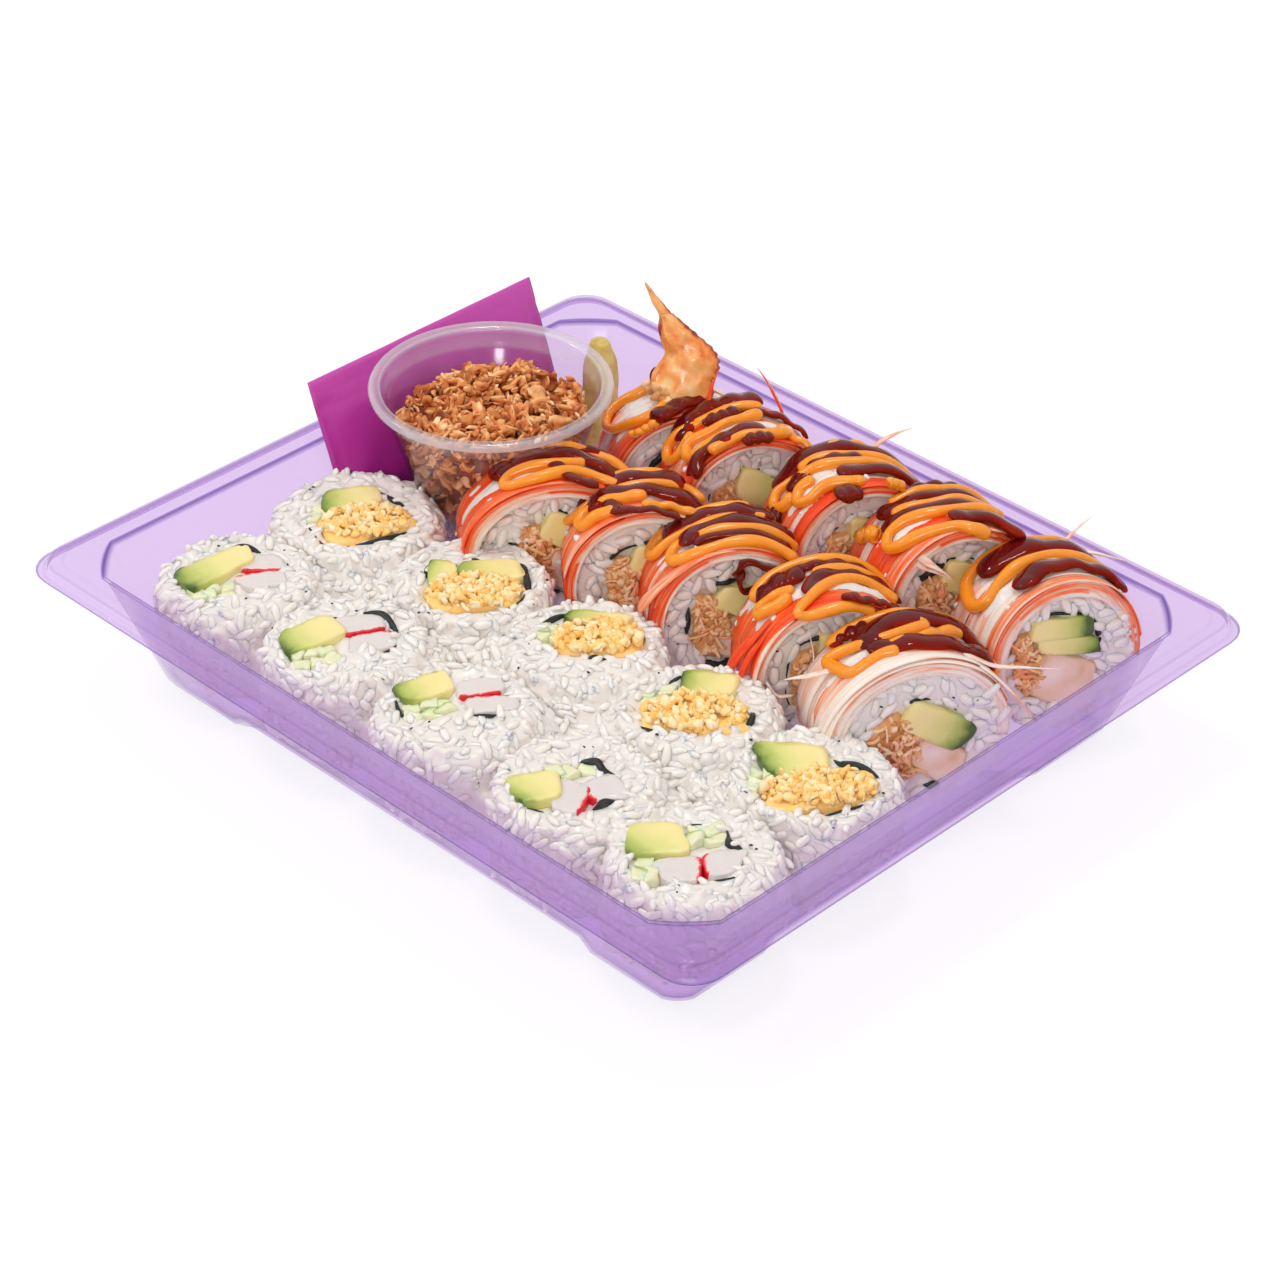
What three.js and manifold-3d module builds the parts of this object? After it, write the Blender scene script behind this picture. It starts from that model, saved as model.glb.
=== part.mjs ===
// A takeaway sushi tray, packed for one meal: a thin clear plastic tray with twenty slices of
// sushi roll in four rows, a clear pot of crispy fried onions, a sauce sachet, a lump of wasabi
// and a fried prawn tail. Millimetres, +Z up. X runs along the tray's long side, Y along its
// short side, and the origin is at the middle of the tray's footprint, on the plane of its feet.

import * as THREE from 'three';
import { mergeVertices } from 'three/addons/utils/BufferGeometryUtils.js';
import Module from 'manifold-3d';

const wasm = await Module();
wasm.setup();

// ---------------------------------------------------------------- driving dimensions

const TRAY = {
  height: 40,                              // feet to rim
  wall: 0.8,
  open: { x: 115, y: 96.7, cut: 12 },      // half sizes of the opening and its cut corners
  base: { x: 99.8, y: 83.5, cut: 5.4 },    // half sizes of the foot of the wall
  flange: { x: 124, y: 104.7, cut: 9 },    // half sizes of the flat rim
  lip: { x: 127.3, y: 107, cut: 10 },      // half sizes of the turned-out lip below it
  lipDrop: 3.2,
  footLength: 30,                          // each corner foot, along each side
  footRise: 4,                             // how far the floor panel stands above the feet
};
const FLOOR = TRAY.footRise + TRAY.wall;   // top of the floor panel
const GAP = 0.35;                          // between pieces that touch
const FACE_GAP = 0.9;                      // between the flat faces of lying slices
const SINK = 0.8;                          // how far a lying slice is pressed flat by the floor

const POT = {
  x: -79.9, y: 24.2, rim: 59.5,
  rimRadius: 34.6, neckRadius: 31.7, baseRadius: 15.8, wall: 0.9, lipHeight: 2.6,
};
const ONION = { level: 48, crown: 3.6, tilt: 0.06, pieces: 26, length: [5, 10] };

const SACHET = { y0: -10.7, y1: 75.4, z0: 14, z1: 57.5, off: 2.7, puff: 1.55, seam: 0.35 };
const WASABI = { foot: [-92, 78, FLOOR - 1], tip: [-100.5, 84.5, 41], radius: 6.3 };
const TAIL = { root: [-47, 69.5, 51.5], tip: [-66, 71, 80], width: 7.2, thick: 2.6 };

const RICE_BUMP = 0.75;                    // height of one rice grain's bump
const UPRIGHT = { radius: 21.9, top: 32, square: 2.5 };
const SKIN = 1.9;                          // thickness of the crab sheet over a lying roll
const SHEET_REACH = 100;                   // degrees that the sheet hangs down each side
const SAUCE = { lines: 4, height: 2.3, reach: 55, from: 2.6, to: 5.5 };  // ridges of sauce on it

// Slices that stand on their flat end, filling up: place of each, with its half width where it
// isn't the usual one, and how far each row's filling reaches from the middle.
const ROW_A = [[-87.8, -63.5], [-43.8, -63.5], [0, -63.5], [45, -63.5], [86.6, -63.5]];
const ROW_B = [[-88.3, -20, 23.4], [-41.5, -20], [2.3, -20], [43.9, -20], [85.2, -20]];
const FILL_A = 15;
const FILL_B = 16;

// Slices that lie on their side and lean on each other: the middle of the front face, the turn
// and the lean of the axis in degrees, half width, half height and thickness.
const ROW_C = [
  { at: [-36.9, 8.9, 30], turn: 38, lean: 8, w: 27.2, h: 21.6, t: 19 },
  { at: [-9.1, 15.8, 29], turn: 40, lean: 9, w: 23.2, h: 22.3, t: 22 },
  { at: [20.5, 19, 29.5], turn: 36, lean: 9, w: 23, h: 22.5, t: 22 },
  { at: [55.9, 20, 29], turn: 33, lean: 9, w: 23, h: 22.4, t: 23 },
  { at: [89.1, 16.6, 27], turn: 29, lean: 6, w: 25.3, h: 22.4, t: 25 },
];
const ROW_D = [
  { at: [-38.4, 61.9, 27], turn: 36, lean: 8, w: 23, h: 22, t: 24 },
  { at: [-12.4, 60.6, 31.5], turn: 32, lean: 10, w: 22.5, h: 22.5, t: 23 },
  { at: [26.3, 64.4, 31.5], turn: 28, lean: 10, w: 22.5, h: 22.5, t: 24 },
  { at: [58.4, 66.3, 32], turn: 26, lean: 10, w: 22.5, h: 22.5, t: 24 },
  { at: [94, 69, 28.5], turn: 25, lean: 12, w: 23, h: 23, t: 26 },
];

// ---------------------------------------------------------------- small tools

function random(seed) {
  let state = seed >>> 0;
  return () => {
    state = (state + 0x6d2b79f5) >>> 0;
    let t = state;
    t = Math.imul(t ^ (t >>> 15), t | 1);
    t ^= t + Math.imul(t ^ (t >>> 7), t | 61);
    return ((t ^ (t >>> 14)) >>> 0) / 4294967296;
  };
}

const mix = THREE.MathUtils.lerp;
const rad = THREE.MathUtils.degToRad;

// A closed skin over rings of equal length, from the first ring's pole to the last ring's.
function loft(rings) {
  const count = rings[0].length;
  const points = rings.flat();
  const index = [];
  const pole = (ring) => {
    const middle = new THREE.Vector3();
    ring.forEach((p) => middle.add(p));
    points.push(middle.divideScalar(count));
    return points.length - 1;
  };
  for (let r = 0; r + 1 < rings.length; r += 1) {
    for (let i = 0; i < count; i += 1) {
      const a = r * count + i;
      const b = r * count + ((i + 1) % count);
      index.push(a, b, b + count, a, b + count, a + count);
    }
  }
  const first = pole(rings[0]);
  const last = pole(rings[rings.length - 1]);
  const top = (rings.length - 1) * count;
  for (let i = 0; i < count; i += 1) {
    const j = (i + 1) % count;
    index.push(first, j, i, last, top + i, top + j);
  }
  const geometry = new THREE.BufferGeometry();
  geometry.setAttribute('position', new THREE.Float32BufferAttribute(points.flatMap((p) => p.toArray()), 3));
  geometry.setIndex(index);
  return geometry;
}

function toSolid(geometry) {
  const bare = geometry.clone();
  bare.deleteAttribute('normal');
  bare.deleteAttribute('uv');
  const merged = mergeVertices(bare, 1e-4);
  const mesh = new wasm.Mesh({
    numProp: 3,
    vertProperties: Float32Array.from(merged.attributes.position.array),
    triVerts: Uint32Array.from(merged.index.array),
  });
  return new wasm.Manifold(mesh);
}

// The largest piece of a solid, as a geometry: cutting can leave loose scraps.
function toGeometry(solid) {
  const pieces = solid.decompose().sort((a, b) => b.volume() - a.volume());
  const mesh = pieces[0].getMesh();
  const geometry = new THREE.BufferGeometry();
  geometry.setAttribute('position', new THREE.Float32BufferAttribute(Array.from(mesh.vertProperties), 3));
  geometry.setIndex(Array.from(mesh.triVerts));
  return geometry;
}

const tray = new THREE.Group();

function addPiece(name, geometry, color, roughness, metalness = 0) {
  const material = new THREE.MeshStandardMaterial({ color, roughness, metalness });
  const mesh = new THREE.Mesh(geometry, material);
  mesh.name = name;
  tray.add(mesh);
  return mesh;
}

// ---------------------------------------------------------------- the tray

const CORNER_STEPS = 4;

// One level of the tray: a rectangle with its corners cut straight (round 0) or rounded
// (round 1). The stretches between the corner feet stand higher by lift.
function trayRing({ x, y, cut }, z, round, lift = 0) {
  const points = [];
  for (let corner = 0; corner < 4; corner += 1) {
    const sx = corner === 0 || corner === 3 ? 1 : -1;
    const sy = corner < 2 ? 1 : -1;
    const alongX = corner % 2 === 1;
    for (let i = 0; i <= CORNER_STEPS; i += 1) {
      const t = i / CORNER_STEPS;
      const a = alongX ? 1 - t : t;
      const angle = (a * Math.PI) / 2;
      const px = x - cut + cut * mix(1 - a, Math.cos(angle), round);
      const py = y - cut + cut * mix(a, Math.sin(angle), round);
      points.push(new THREE.Vector3(sx * px, sy * py, z));
    }
    const half = alongX ? y : x;
    const far = alongX ? x : y;
    const stops = [half - TRAY.footLength, half - TRAY.footLength - TRAY.footRise];
    const way = corner < 2 ? 1 : -1;
    const side = [stops[0], stops[1], -stops[1], -stops[0]];
    side.forEach((s, k) => {
      const z1 = z + (k === 1 || k === 2 ? lift : 0);
      if (corner % 2 === 0) points.push(new THREE.Vector3(way * s, way * far, z1));
      else points.push(new THREE.Vector3(-way * far, way * s, z1));
    });
  }
  return points;
}

const inset = (size, d) => ({ x: size.x - d, y: size.y - d, cut: Math.max(size.cut - d * 0.3, 2) });

// The tray's wall at a given height, moved inwards.
function wallAt(z, inwards) {
  const t = z / TRAY.height;
  return inset({
    x: mix(TRAY.base.x, TRAY.open.x, t),
    y: mix(TRAY.base.y, TRAY.open.y, t),
    cut: mix(TRAY.base.cut, TRAY.open.cut, t),
  }, inwards);
}

function makeTray() {
  const { height, wall, base, open, flange, lip, lipDrop, footRise } = TRAY;
  const drop = height - lipDrop;
  const rings = [
    trayRing(inset(base, 13), footRise, 0.6),
    trayRing(inset(base, 11), 0, 0.6, footRise),
    trayRing(inset(base, 3.5), 0, 0.6, footRise),
    trayRing(wallAt(3.2, 0), 3.2, 0.4, footRise * 0.7),
    trayRing(inset(open, -wall), height - wall, 0.15),
    trayRing(inset(flange, wall), height - wall, 1),
    trayRing(inset(flange, 0), drop - wall, 1),
    trayRing(lip, drop - wall, 1),
    trayRing(lip, drop, 1),
    trayRing(inset(flange, -wall), drop, 1),
    trayRing(flange, height, 1),
    trayRing(open, height, 0.15),
    trayRing(wallAt(4, wall), 4, 0.4, footRise * 0.7),
    trayRing(inset(base, 4.2), wall, 0.6, footRise),
    trayRing(inset(base, 10.4), wall, 0.6, footRise),
    trayRing(inset(base, 12.4), FLOOR, 0.6),
  ];
  return loft(rings);
}

// The space inside the tray, a touching gap clear of it, up to well above the rim.
function trayInside() {
  const shoulder = 8;
  const mouth = wallAt(TRAY.height, TRAY.wall + GAP);
  return toSolid(loft([
    trayRing(inset(TRAY.base, 6), FLOOR + GAP, 0.3),
    trayRing(wallAt(shoulder, TRAY.wall + GAP + 1.2), shoulder, 0.3),
    trayRing(mouth, TRAY.height, 0.3),
    trayRing(mouth, 90, 0.3),
  ]));
}

// ---------------------------------------------------------------- the pot of fried onions

function lathe(profile, segments) {
  const geometry = new THREE.LatheGeometry(profile.map(([r, z]) => new THREE.Vector2(r, z)), segments);
  return geometry.rotateX(Math.PI / 2).translate(POT.x, POT.y, 0);
}

const POT_FOOT = FLOOR + 0.3;
const potSlope = (POT.neckRadius - POT.baseRadius) / (POT.rim - POT.lipHeight - POT_FOOT);
const potRadius = (z) => POT.baseRadius + potSlope * (z - POT_FOOT);

function makePot() {
  const { rim, rimRadius, neckRadius, baseRadius, wall, lipHeight } = POT;
  const profile = [
    [0, POT_FOOT],
    [baseRadius, POT_FOOT],
    [neckRadius, rim - lipHeight],
    [rimRadius, rim - lipHeight],
    [rimRadius, rim - 0.5],
    [rimRadius - 0.6, rim],
    [neckRadius - 0.4, rim],
    [neckRadius - wall, rim - lipHeight],
    [baseRadius - wall, POT_FOOT + wall],
    [0, POT_FOOT + wall],
  ];
  return lathe(profile, 26);
}

// A slab of the pot's outside, a gap larger, that its neighbours are cut back to.
function potClearance() {
  const { rim, rimRadius, neckRadius, baseRadius, lipHeight } = POT;
  return toSolid(lathe([
    [0, FLOOR - 2],
    [baseRadius + GAP, FLOOR - 2],
    [baseRadius + GAP, POT_FOOT],
    [neckRadius + GAP, rim - lipHeight - 0.3],
    [rimRadius + GAP, rim - lipHeight - 0.3],
    [rimRadius + GAP, rim + 1],
    [0, rim + 1],
  ], 26));
}

function onionPiece(next, radius) {
  const piece = new THREE.IcosahedronGeometry(1, 0);
  const long = mix(ONION.length[0], ONION.length[1], next()) / 2;
  piece.scale(long, long * mix(0.45, 0.7, next()), long * mix(0.3, 0.55, next()));
  const turned = new THREE.Euler(mix(-0.5, 0.5, next()), mix(-0.7, 0.7, next()), Math.PI * 2 * next());
  piece.applyMatrix4(new THREE.Matrix4().makeRotationFromEuler(turned));
  const angle = Math.PI * 2 * next();
  const r = radius * Math.sqrt(next());
  const dx = r * Math.cos(angle);
  const dy = r * Math.sin(angle);
  const crown = ONION.crown * (1 - (r / radius) ** 2) + ONION.tilt * (dx + dy);
  piece.translate(POT.x + dx, POT.y + dy, ONION.level + crown);
  return toSolid(piece);
}

function makeOnions() {
  const next = random(31);
  const sides = 20;
  const inside = POT.wall + GAP;
  const ring = (r, z, bump) => Array.from({ length: sides }, (_, i) => {
    const a = (i / sides) * Math.PI * 2;
    const tilt = bump ? ONION.tilt * r * (Math.cos(a) + Math.sin(a)) : 0;
    const lift = bump * (next() - 0.5) + tilt;
    return new THREE.Vector3(POT.x + r * Math.cos(a), POT.y + r * Math.sin(a), z + lift);
  });
  const low = POT_FOOT + POT.wall + GAP;
  const edge = ONION.level - 1.5;
  let heap = toSolid(loft([
    ring(potRadius(low) - inside - 0.4, low, 0),
    ring(potRadius(edge) - inside - 0.3, edge, 0),
    ring(20, ONION.level, 2.4),
    ring(10, ONION.level + ONION.crown * 0.7, 2.4),
  ]));
  const reach = potRadius(ONION.level) - inside - 4.2;
  for (let k = 0; k < ONION.pieces; k += 1) heap = heap.add(onionPiece(next, reach));
  return toGeometry(heap);
}

// ---------------------------------------------------------------- sachet, wasabi, prawn tail

// A flat pillow pack that leans on the tray's end wall.
function makeSachet(grow = 0) {
  const across = 8;
  const up = 6;
  const { y0, y1, z0, z1, off, puff, seam } = SACHET;
  const slope = (TRAY.open.x - TRAY.base.x) / TRAY.height;
  const cell = (i, j, side) => {
    const u = i / across;
    const v = j / up;
    const swell = (4 * u * (1 - u)) ** 0.6 * (4 * v * (1 - v)) ** 0.6;
    const half = seam + grow + puff * swell;
    const z = mix(z0 - grow, z1 + grow, v);
    const y = mix(y0 - grow, y1 + grow, u);
    const middle = -(TRAY.base.x + slope * z - TRAY.wall) + off;
    return new THREE.Vector3(middle + side * half, y, z);
  };
  const rings = [];
  for (let j = 0; j <= up; j += 1) {
    const ring = [];
    for (let i = 0; i <= across; i += 1) ring.push(cell(i, j, 1));
    for (let i = across; i >= 0; i -= 1) ring.push(cell(i, j, -1));
    rings.push(ring);
  }
  return loft(rings);
}

// A rough round column between two points, fattest near its foot.
function makeWasabi() {
  const next = random(77);
  const foot = new THREE.Vector3(...WASABI.foot);
  const lean = new THREE.Vector3(...WASABI.tip).sub(foot);
  const levels = [[0, 0.75], [0.12, 1.1], [0.4, 1.05], [0.65, 0.85], [0.86, 0.7], [1, 0.35]];
  return loft(levels.map(([t, fat]) => Array.from({ length: 10 }, (_, i) => {
    const a = (i / 10) * Math.PI * 2;
    const r = WASABI.radius * fat * mix(0.9, 1.08, next());
    const out = new THREE.Vector3(r * Math.cos(a), r * Math.sin(a), 0);
    return out.add(foot).addScaledVector(lean, t);
  })));
}

// The fried prawn tail: a flat fan that widens, then curls over to its point.
function makeTail() {
  const root = new THREE.Vector3(...TAIL.root);
  const tip = new THREE.Vector3(...TAIL.tip);
  const along = new THREE.Vector3().subVectors(tip, root);
  const wide = new THREE.Vector3(0.72, 0.69, 0.1).normalize();
  const flat = new THREE.Vector3().crossVectors(along, wide).normalize();
  const levels = [[0, 0.55, 1.2], [0.14, 0.8, 1.5], [0.32, 1, 1.4], [0.5, 0.96, 1.1], [0.66, 0.62, 0.9],
    [0.82, 0.45, 0.7], [0.93, 0.34, 0.5], [1, 0.14, 0.3]];
  return loft(levels.map(([t, w, k]) => Array.from({ length: 10 }, (_, i) => {
    const a = (i / 10) * Math.PI * 2;
    const bend = 5 * Math.sin(t * Math.PI);
    return root.clone().addScaledVector(along, t)
      .addScaledVector(wide, TAIL.width * w * Math.cos(a) + bend)
      .addScaledVector(flat, TAIL.thick * k * Math.sin(a));
  })));
}

// ---------------------------------------------------------------- upright slices, rows A and B

const SIDES = 20;

// Rounder at the top edge and squarer below, where each slice is pressed by its neighbours.
function squarish(angle, radius, power) {
  const c = Math.abs(Math.cos(angle)) ** power;
  const s = Math.abs(Math.sin(angle)) ** power;
  return radius / (c + s) ** (1 / power);
}

function uprightRoll([x, y, radius = UPRIGHT.radius], filling, seed) {
  const next = random(seed);
  const { top, square } = UPRIGHT;
  const low = FLOOR + GAP;
  const levels = [
    { r: radius - 1.4, z: low, p: square, out: 0, up: 0 },
    { r: radius, z: low + 3, p: square, out: 1, up: 0 },
    { r: radius - 0.2, z: top - 4.5, p: 2.3, out: 1, up: 1 },
    { r: radius - 1.4, z: top - 1, p: 2.1, out: 0.8, up: 0.8 },
    { r: (radius + filling) / 2, z: top, p: 2, out: 0.8, up: 1 },
    { r: filling, z: top - 0.8, p: 2, out: 0.3, up: 0.5 },
    { r: filling - 2.2, z: top - 0.2, p: 2, out: 0.3, up: 1 },
    { r: filling * 0.45, z: top + 0.1, p: 2, out: 0.5, up: 1 },
  ];
  return levels.map(({ r, z, p, out, up }) => Array.from({ length: SIDES }, (_, i) => {
    const a = (i / SIDES) * Math.PI * 2;
    const reach = squarish(a, r, p) + out * RICE_BUMP * (next() - 0.5) * 1.6;
    const lift = up * RICE_BUMP * (next() - 0.5) * 1.4;
    return new THREE.Vector3(x + reach * Math.cos(a), y + reach * Math.sin(a), z + lift);
  }));
}

// ---------------------------------------------------------------- lying slices, rows C and D

function lyingFrame({ at, turn, lean, w, h, t }) {
  const axis = new THREE.Vector3(
    Math.cos(rad(turn)) * Math.cos(rad(lean)),
    -Math.sin(rad(turn)) * Math.cos(rad(lean)),
    Math.sin(rad(lean)),
  );
  const side = axis.clone().cross(new THREE.Vector3(0, 0, 1)).normalize();
  const up = new THREE.Vector3().crossVectors(side, axis);
  const low = at[2] - 0.5 * t * Math.sin(rad(lean)) - FLOOR + SINK;
  return { middle: new THREE.Vector3(...at), axis, side, up, w, h, low };
}

// A point of a lying slice: angle from its top, share of its own reach and millimetres beyond
// it, and distance along its axis from the front face. The slice sags to the floor.
function lyingPoint({ middle, axis, side, up, w, h, low }, angle, share, out, along) {
  const c = Math.cos(angle);
  return middle.clone()
    .addScaledVector(side, (share * w + out) * Math.sin(angle))
    .addScaledVector(up, (share * (c > 0 ? h : low) + out) * c)
    .addScaledVector(axis, along);
}

// How far the sauce stands over the crab sheet: full across the top, none past its reach.
function sauceCover(fromTop) {
  const t = THREE.MathUtils.clamp((fromTop - rad(SAUCE.reach - 8)) / rad(16), 0, 1);
  return 1 - t;
}

function lyingRoll(slice, seed) {
  const next = random(seed);
  const frame = lyingFrame(slice);
  const { t } = slice;
  const levels = [
    { k: 0.9, s: -t, bump: 0.6 },
    { k: 1, s: 1.2 - t, skin: 1, bump: 0.5 },
  ];
  const first = SAUCE.from - t;
  const pitch = (t - SAUCE.from - SAUCE.to) / (SAUCE.lines - 0.5);
  for (let line = 0; line < SAUCE.lines; line += 1) {
    const thick = SAUCE.height * mix(0.8, 1.15, next());
    const slant = mix(0.6, 1.6, next()) * (line % 2 === 0 ? 1 : -1);
    levels.push({ k: 1, s: first + pitch * line, skin: 1, bump: 0.3, sauce: thick, slant });
    if (line + 1 < SAUCE.lines) levels.push({ k: 1, s: first + pitch * (line + 0.5), skin: 1, bump: 0.3 });
  }
  levels.push(
    { k: 1, s: -1.6, skin: 1, bump: 0.5 },
    { k: 0.97, s: -0.7, bump: 0.8 },
    { k: 0.76, s: 0, bump: 1 },
    { k: 0.54, s: -0.9, bump: 0.4 },
    { k: 0.46, s: -0.1, bump: 1 },
  );
  return levels.map((level) => Array.from({ length: SIDES }, (_, i) => {
    const { k, s, skin = 0, bump, sauce = 0, slant = 0 } = level;
    const a = (i / SIDES) * Math.PI * 2;
    const turn = Math.atan2(Math.sin(a), Math.cos(a));
    const fromTop = Math.abs(turn);
    const rough = bump * RICE_BUMP * (next() - 0.5);
    const bare = skin && fromTop < rad(SHEET_REACH) ? 0 : SKIN;
    const out = rough - bare + sauce * sauceCover(fromTop);
    const along = s + rough * (1 - skin) + slant * turn * sauceCover(fromTop);
    return lyingPoint(frame, a, k, out, along);
  }));
}

// A prism round a lying slice, a little larger, that its neighbours are cut back to.
function lyingClearance(slice, front, out) {
  const frame = lyingFrame(slice);
  const ring = (s) => Array.from({ length: 24 }, (_, i) => lyingPoint(
    frame, (i / 24) * Math.PI * 2, 1, out, s,
  ));
  return toSolid(loft([ring(-slice.t - 1), ring(front)]));
}

// ---------------------------------------------------------------- assembly

const inside = trayInside();
const potSpace = potClearance();
const sachetSpace = toSolid(makeSachet(GAP));

addPiece('tray', makeTray(), 0xc9abe0, 0.18);
addPiece('onion_pot', makePot(), 0xe8e2e6, 0.15);
addPiece('fried_onions', makeOnions(), 0xb8783a, 0.75);
addPiece('sauce_sachet', makeSachet(), 0x9c2588, 0.35);
addPiece('wasabi', toGeometry(toSolid(makeWasabi()).intersect(inside)), 0xb7a03c, 0.6);
addPiece('prawn_tail', makeTail(), 0xe89a4a, 0.45);

// Half of the space between two neighbours that press on each other, as the plane between them.
function cutBetween(solid, [x, y], [nx, ny]) {
  const dx = nx - x;
  const dy = ny - y;
  const reach = Math.hypot(dx, dy);
  const normal = [-dx / reach, -dy / reach, 0];
  const middle = normal[0] * (x + nx) * 0.5 + normal[1] * (y + ny) * 0.5;
  return solid.trimByPlane(normal, middle + GAP / 2);
}

function addUpright(name, place, filling, seed) {
  let solid = toSolid(loft(uprightRoll(place, filling, seed))).intersect(inside);
  for (const other of [...ROW_A, ...ROW_B]) {
    const reach = Math.hypot(other[0] - place[0], other[1] - place[1]);
    if (reach > 1 && reach < UPRIGHT.radius * 3) solid = cutBetween(solid, place, other);
  }
  solid = solid.subtract(potSpace).subtract(sachetSpace);
  addPiece(name, toGeometry(solid), 0xefe9e4, 0.5);
}

ROW_A.forEach((place, k) => addUpright(`roll_a${k + 1}`, place, FILL_A, 100 + k));
ROW_B.forEach((place, k) => addUpright(`roll_b${k + 1}`, place, FILL_B, 200 + k));

const uprightSpace = [...ROW_A, ...ROW_B].map(([x, y]) => {
  const ring = (z) => Array.from({ length: 24 }, (_, i) => {
    const a = (i / 24) * Math.PI * 2;
    const r = squarish(a, UPRIGHT.radius + 1, UPRIGHT.square);
    return new THREE.Vector3(x + r * Math.cos(a), y + r * Math.sin(a), z);
  });
  return toSolid(loft([ring(FLOOR - 2), ring(UPRIGHT.top + 1)]));
});

function addLying(name, slice, before, beside, seed) {
  let solid = toSolid(loft(lyingRoll(slice, seed))).intersect(inside).subtract(potSpace);
  for (const space of uprightSpace) solid = solid.subtract(space);
  if (before) {
    const { middle, axis } = lyingFrame(before);
    solid = solid.trimByPlane(axis.toArray(), axis.dot(middle) + FACE_GAP);
  }
  for (const other of beside) solid = solid.subtract(lyingClearance(other, 1, 1));
  addPiece(name, toGeometry(solid), 0xe8714a, 0.4);
}

ROW_C.forEach((slice, k) => addLying(`roll_c${k + 1}`, slice, ROW_C[k - 1], ROW_D, 300 + k));
ROW_D.forEach((slice, k) => addLying(`roll_d${k + 1}`, slice, ROW_D[k - 1], [], 400 + k));

export default tray;
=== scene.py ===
"""Takeaway sushi tray: the looks of every piece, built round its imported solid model."""

import math

import bmesh
import bpy
import numpy as np
from mathutils import Matrix, Vector


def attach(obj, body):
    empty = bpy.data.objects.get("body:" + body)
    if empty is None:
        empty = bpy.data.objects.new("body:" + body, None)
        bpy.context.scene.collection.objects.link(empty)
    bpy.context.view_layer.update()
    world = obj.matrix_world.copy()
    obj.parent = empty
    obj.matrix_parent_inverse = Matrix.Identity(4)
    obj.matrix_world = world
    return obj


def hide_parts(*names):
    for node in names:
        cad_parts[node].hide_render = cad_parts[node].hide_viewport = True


bl_info = {
    "name": "Takeaway Sushi Tray",
    "version": (1, 0, 0),
    "blender": (4, 5, 0),
    "location": "View3D > Sidebar > Sushi Tray",
    "description": "Dresses a clear tray of sushi slices with rice, fillings, crab strips and sauces",
    "category": "Add Mesh",
}

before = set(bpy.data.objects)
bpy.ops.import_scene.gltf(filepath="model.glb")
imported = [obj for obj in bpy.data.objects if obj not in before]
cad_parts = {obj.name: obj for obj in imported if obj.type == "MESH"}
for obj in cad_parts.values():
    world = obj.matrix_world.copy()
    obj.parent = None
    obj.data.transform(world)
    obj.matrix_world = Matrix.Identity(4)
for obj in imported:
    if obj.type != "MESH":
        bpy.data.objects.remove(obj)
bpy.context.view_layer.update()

MM = 0.001
IMAGE_SIZE = 1280

# The camera: azimuth, elevation and roll in degrees, its place in metres, and its focal length
# in pixels of an image of that size.
CAMERA_ANGLES = (44.875, 34.793, 0.084)
CAMERA_PLACE = (0.58955, -0.58865, 0.60110)
CAMERA_FOCUS = 3750.8

# ------------------------------------------------------------------ sizes, in millimetres

# The tray's sheet, as half sizes of its rounded rectangles and of their cut corners.
TRAY_RIM = 40.0
TRAY_WALL = 0.8
TRAY_OPEN = (115.0, 96.7, 12.0)
TRAY_BASE = (99.8, 83.5, 5.4)
TRAY_FLANGE = (124.0, 104.7, 9.0)
TRAY_LIP = (127.3, 107.0, 10.0)
LIP_DROP = 3.2
FOOT_LENGTH = 30.0
FLOOR_UNDER = 4.0
FLOOR_TOP = FLOOR_UNDER + TRAY_WALL

POT_MIDDLE = (-79.9, 24.2)
POT_RIM = 59.5
POT_RIM_RADIUS = 34.6
POT_NECK_RADIUS = 31.7
POT_BASE_RADIUS = 15.8
POT_FOOT = 5.1
POT_WALL = 0.9
POT_LIP = 2.6
ONION_LEVEL = 48.0

SACHET_SIDES = (-10.7, 75.4)
SACHET_HEIGHTS = (14.0, 57.5)
SACHET_SEAL = 6.0

SLICE_TOP = 32.0
SLICE_RADIUS = 21.9
FACE_DEPTH = 4.0
BED_HALF = 86.0
BATON = 4.6
SEAWEED_DEPTH = 6.0

# The rice between the upright slices: the near side, far side and middle of each row, along Y.
RICE_BEDS = {"a": (-63.5, -41.7, -63.5), "b": (-41.7, -17.0, -20.0)}

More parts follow.
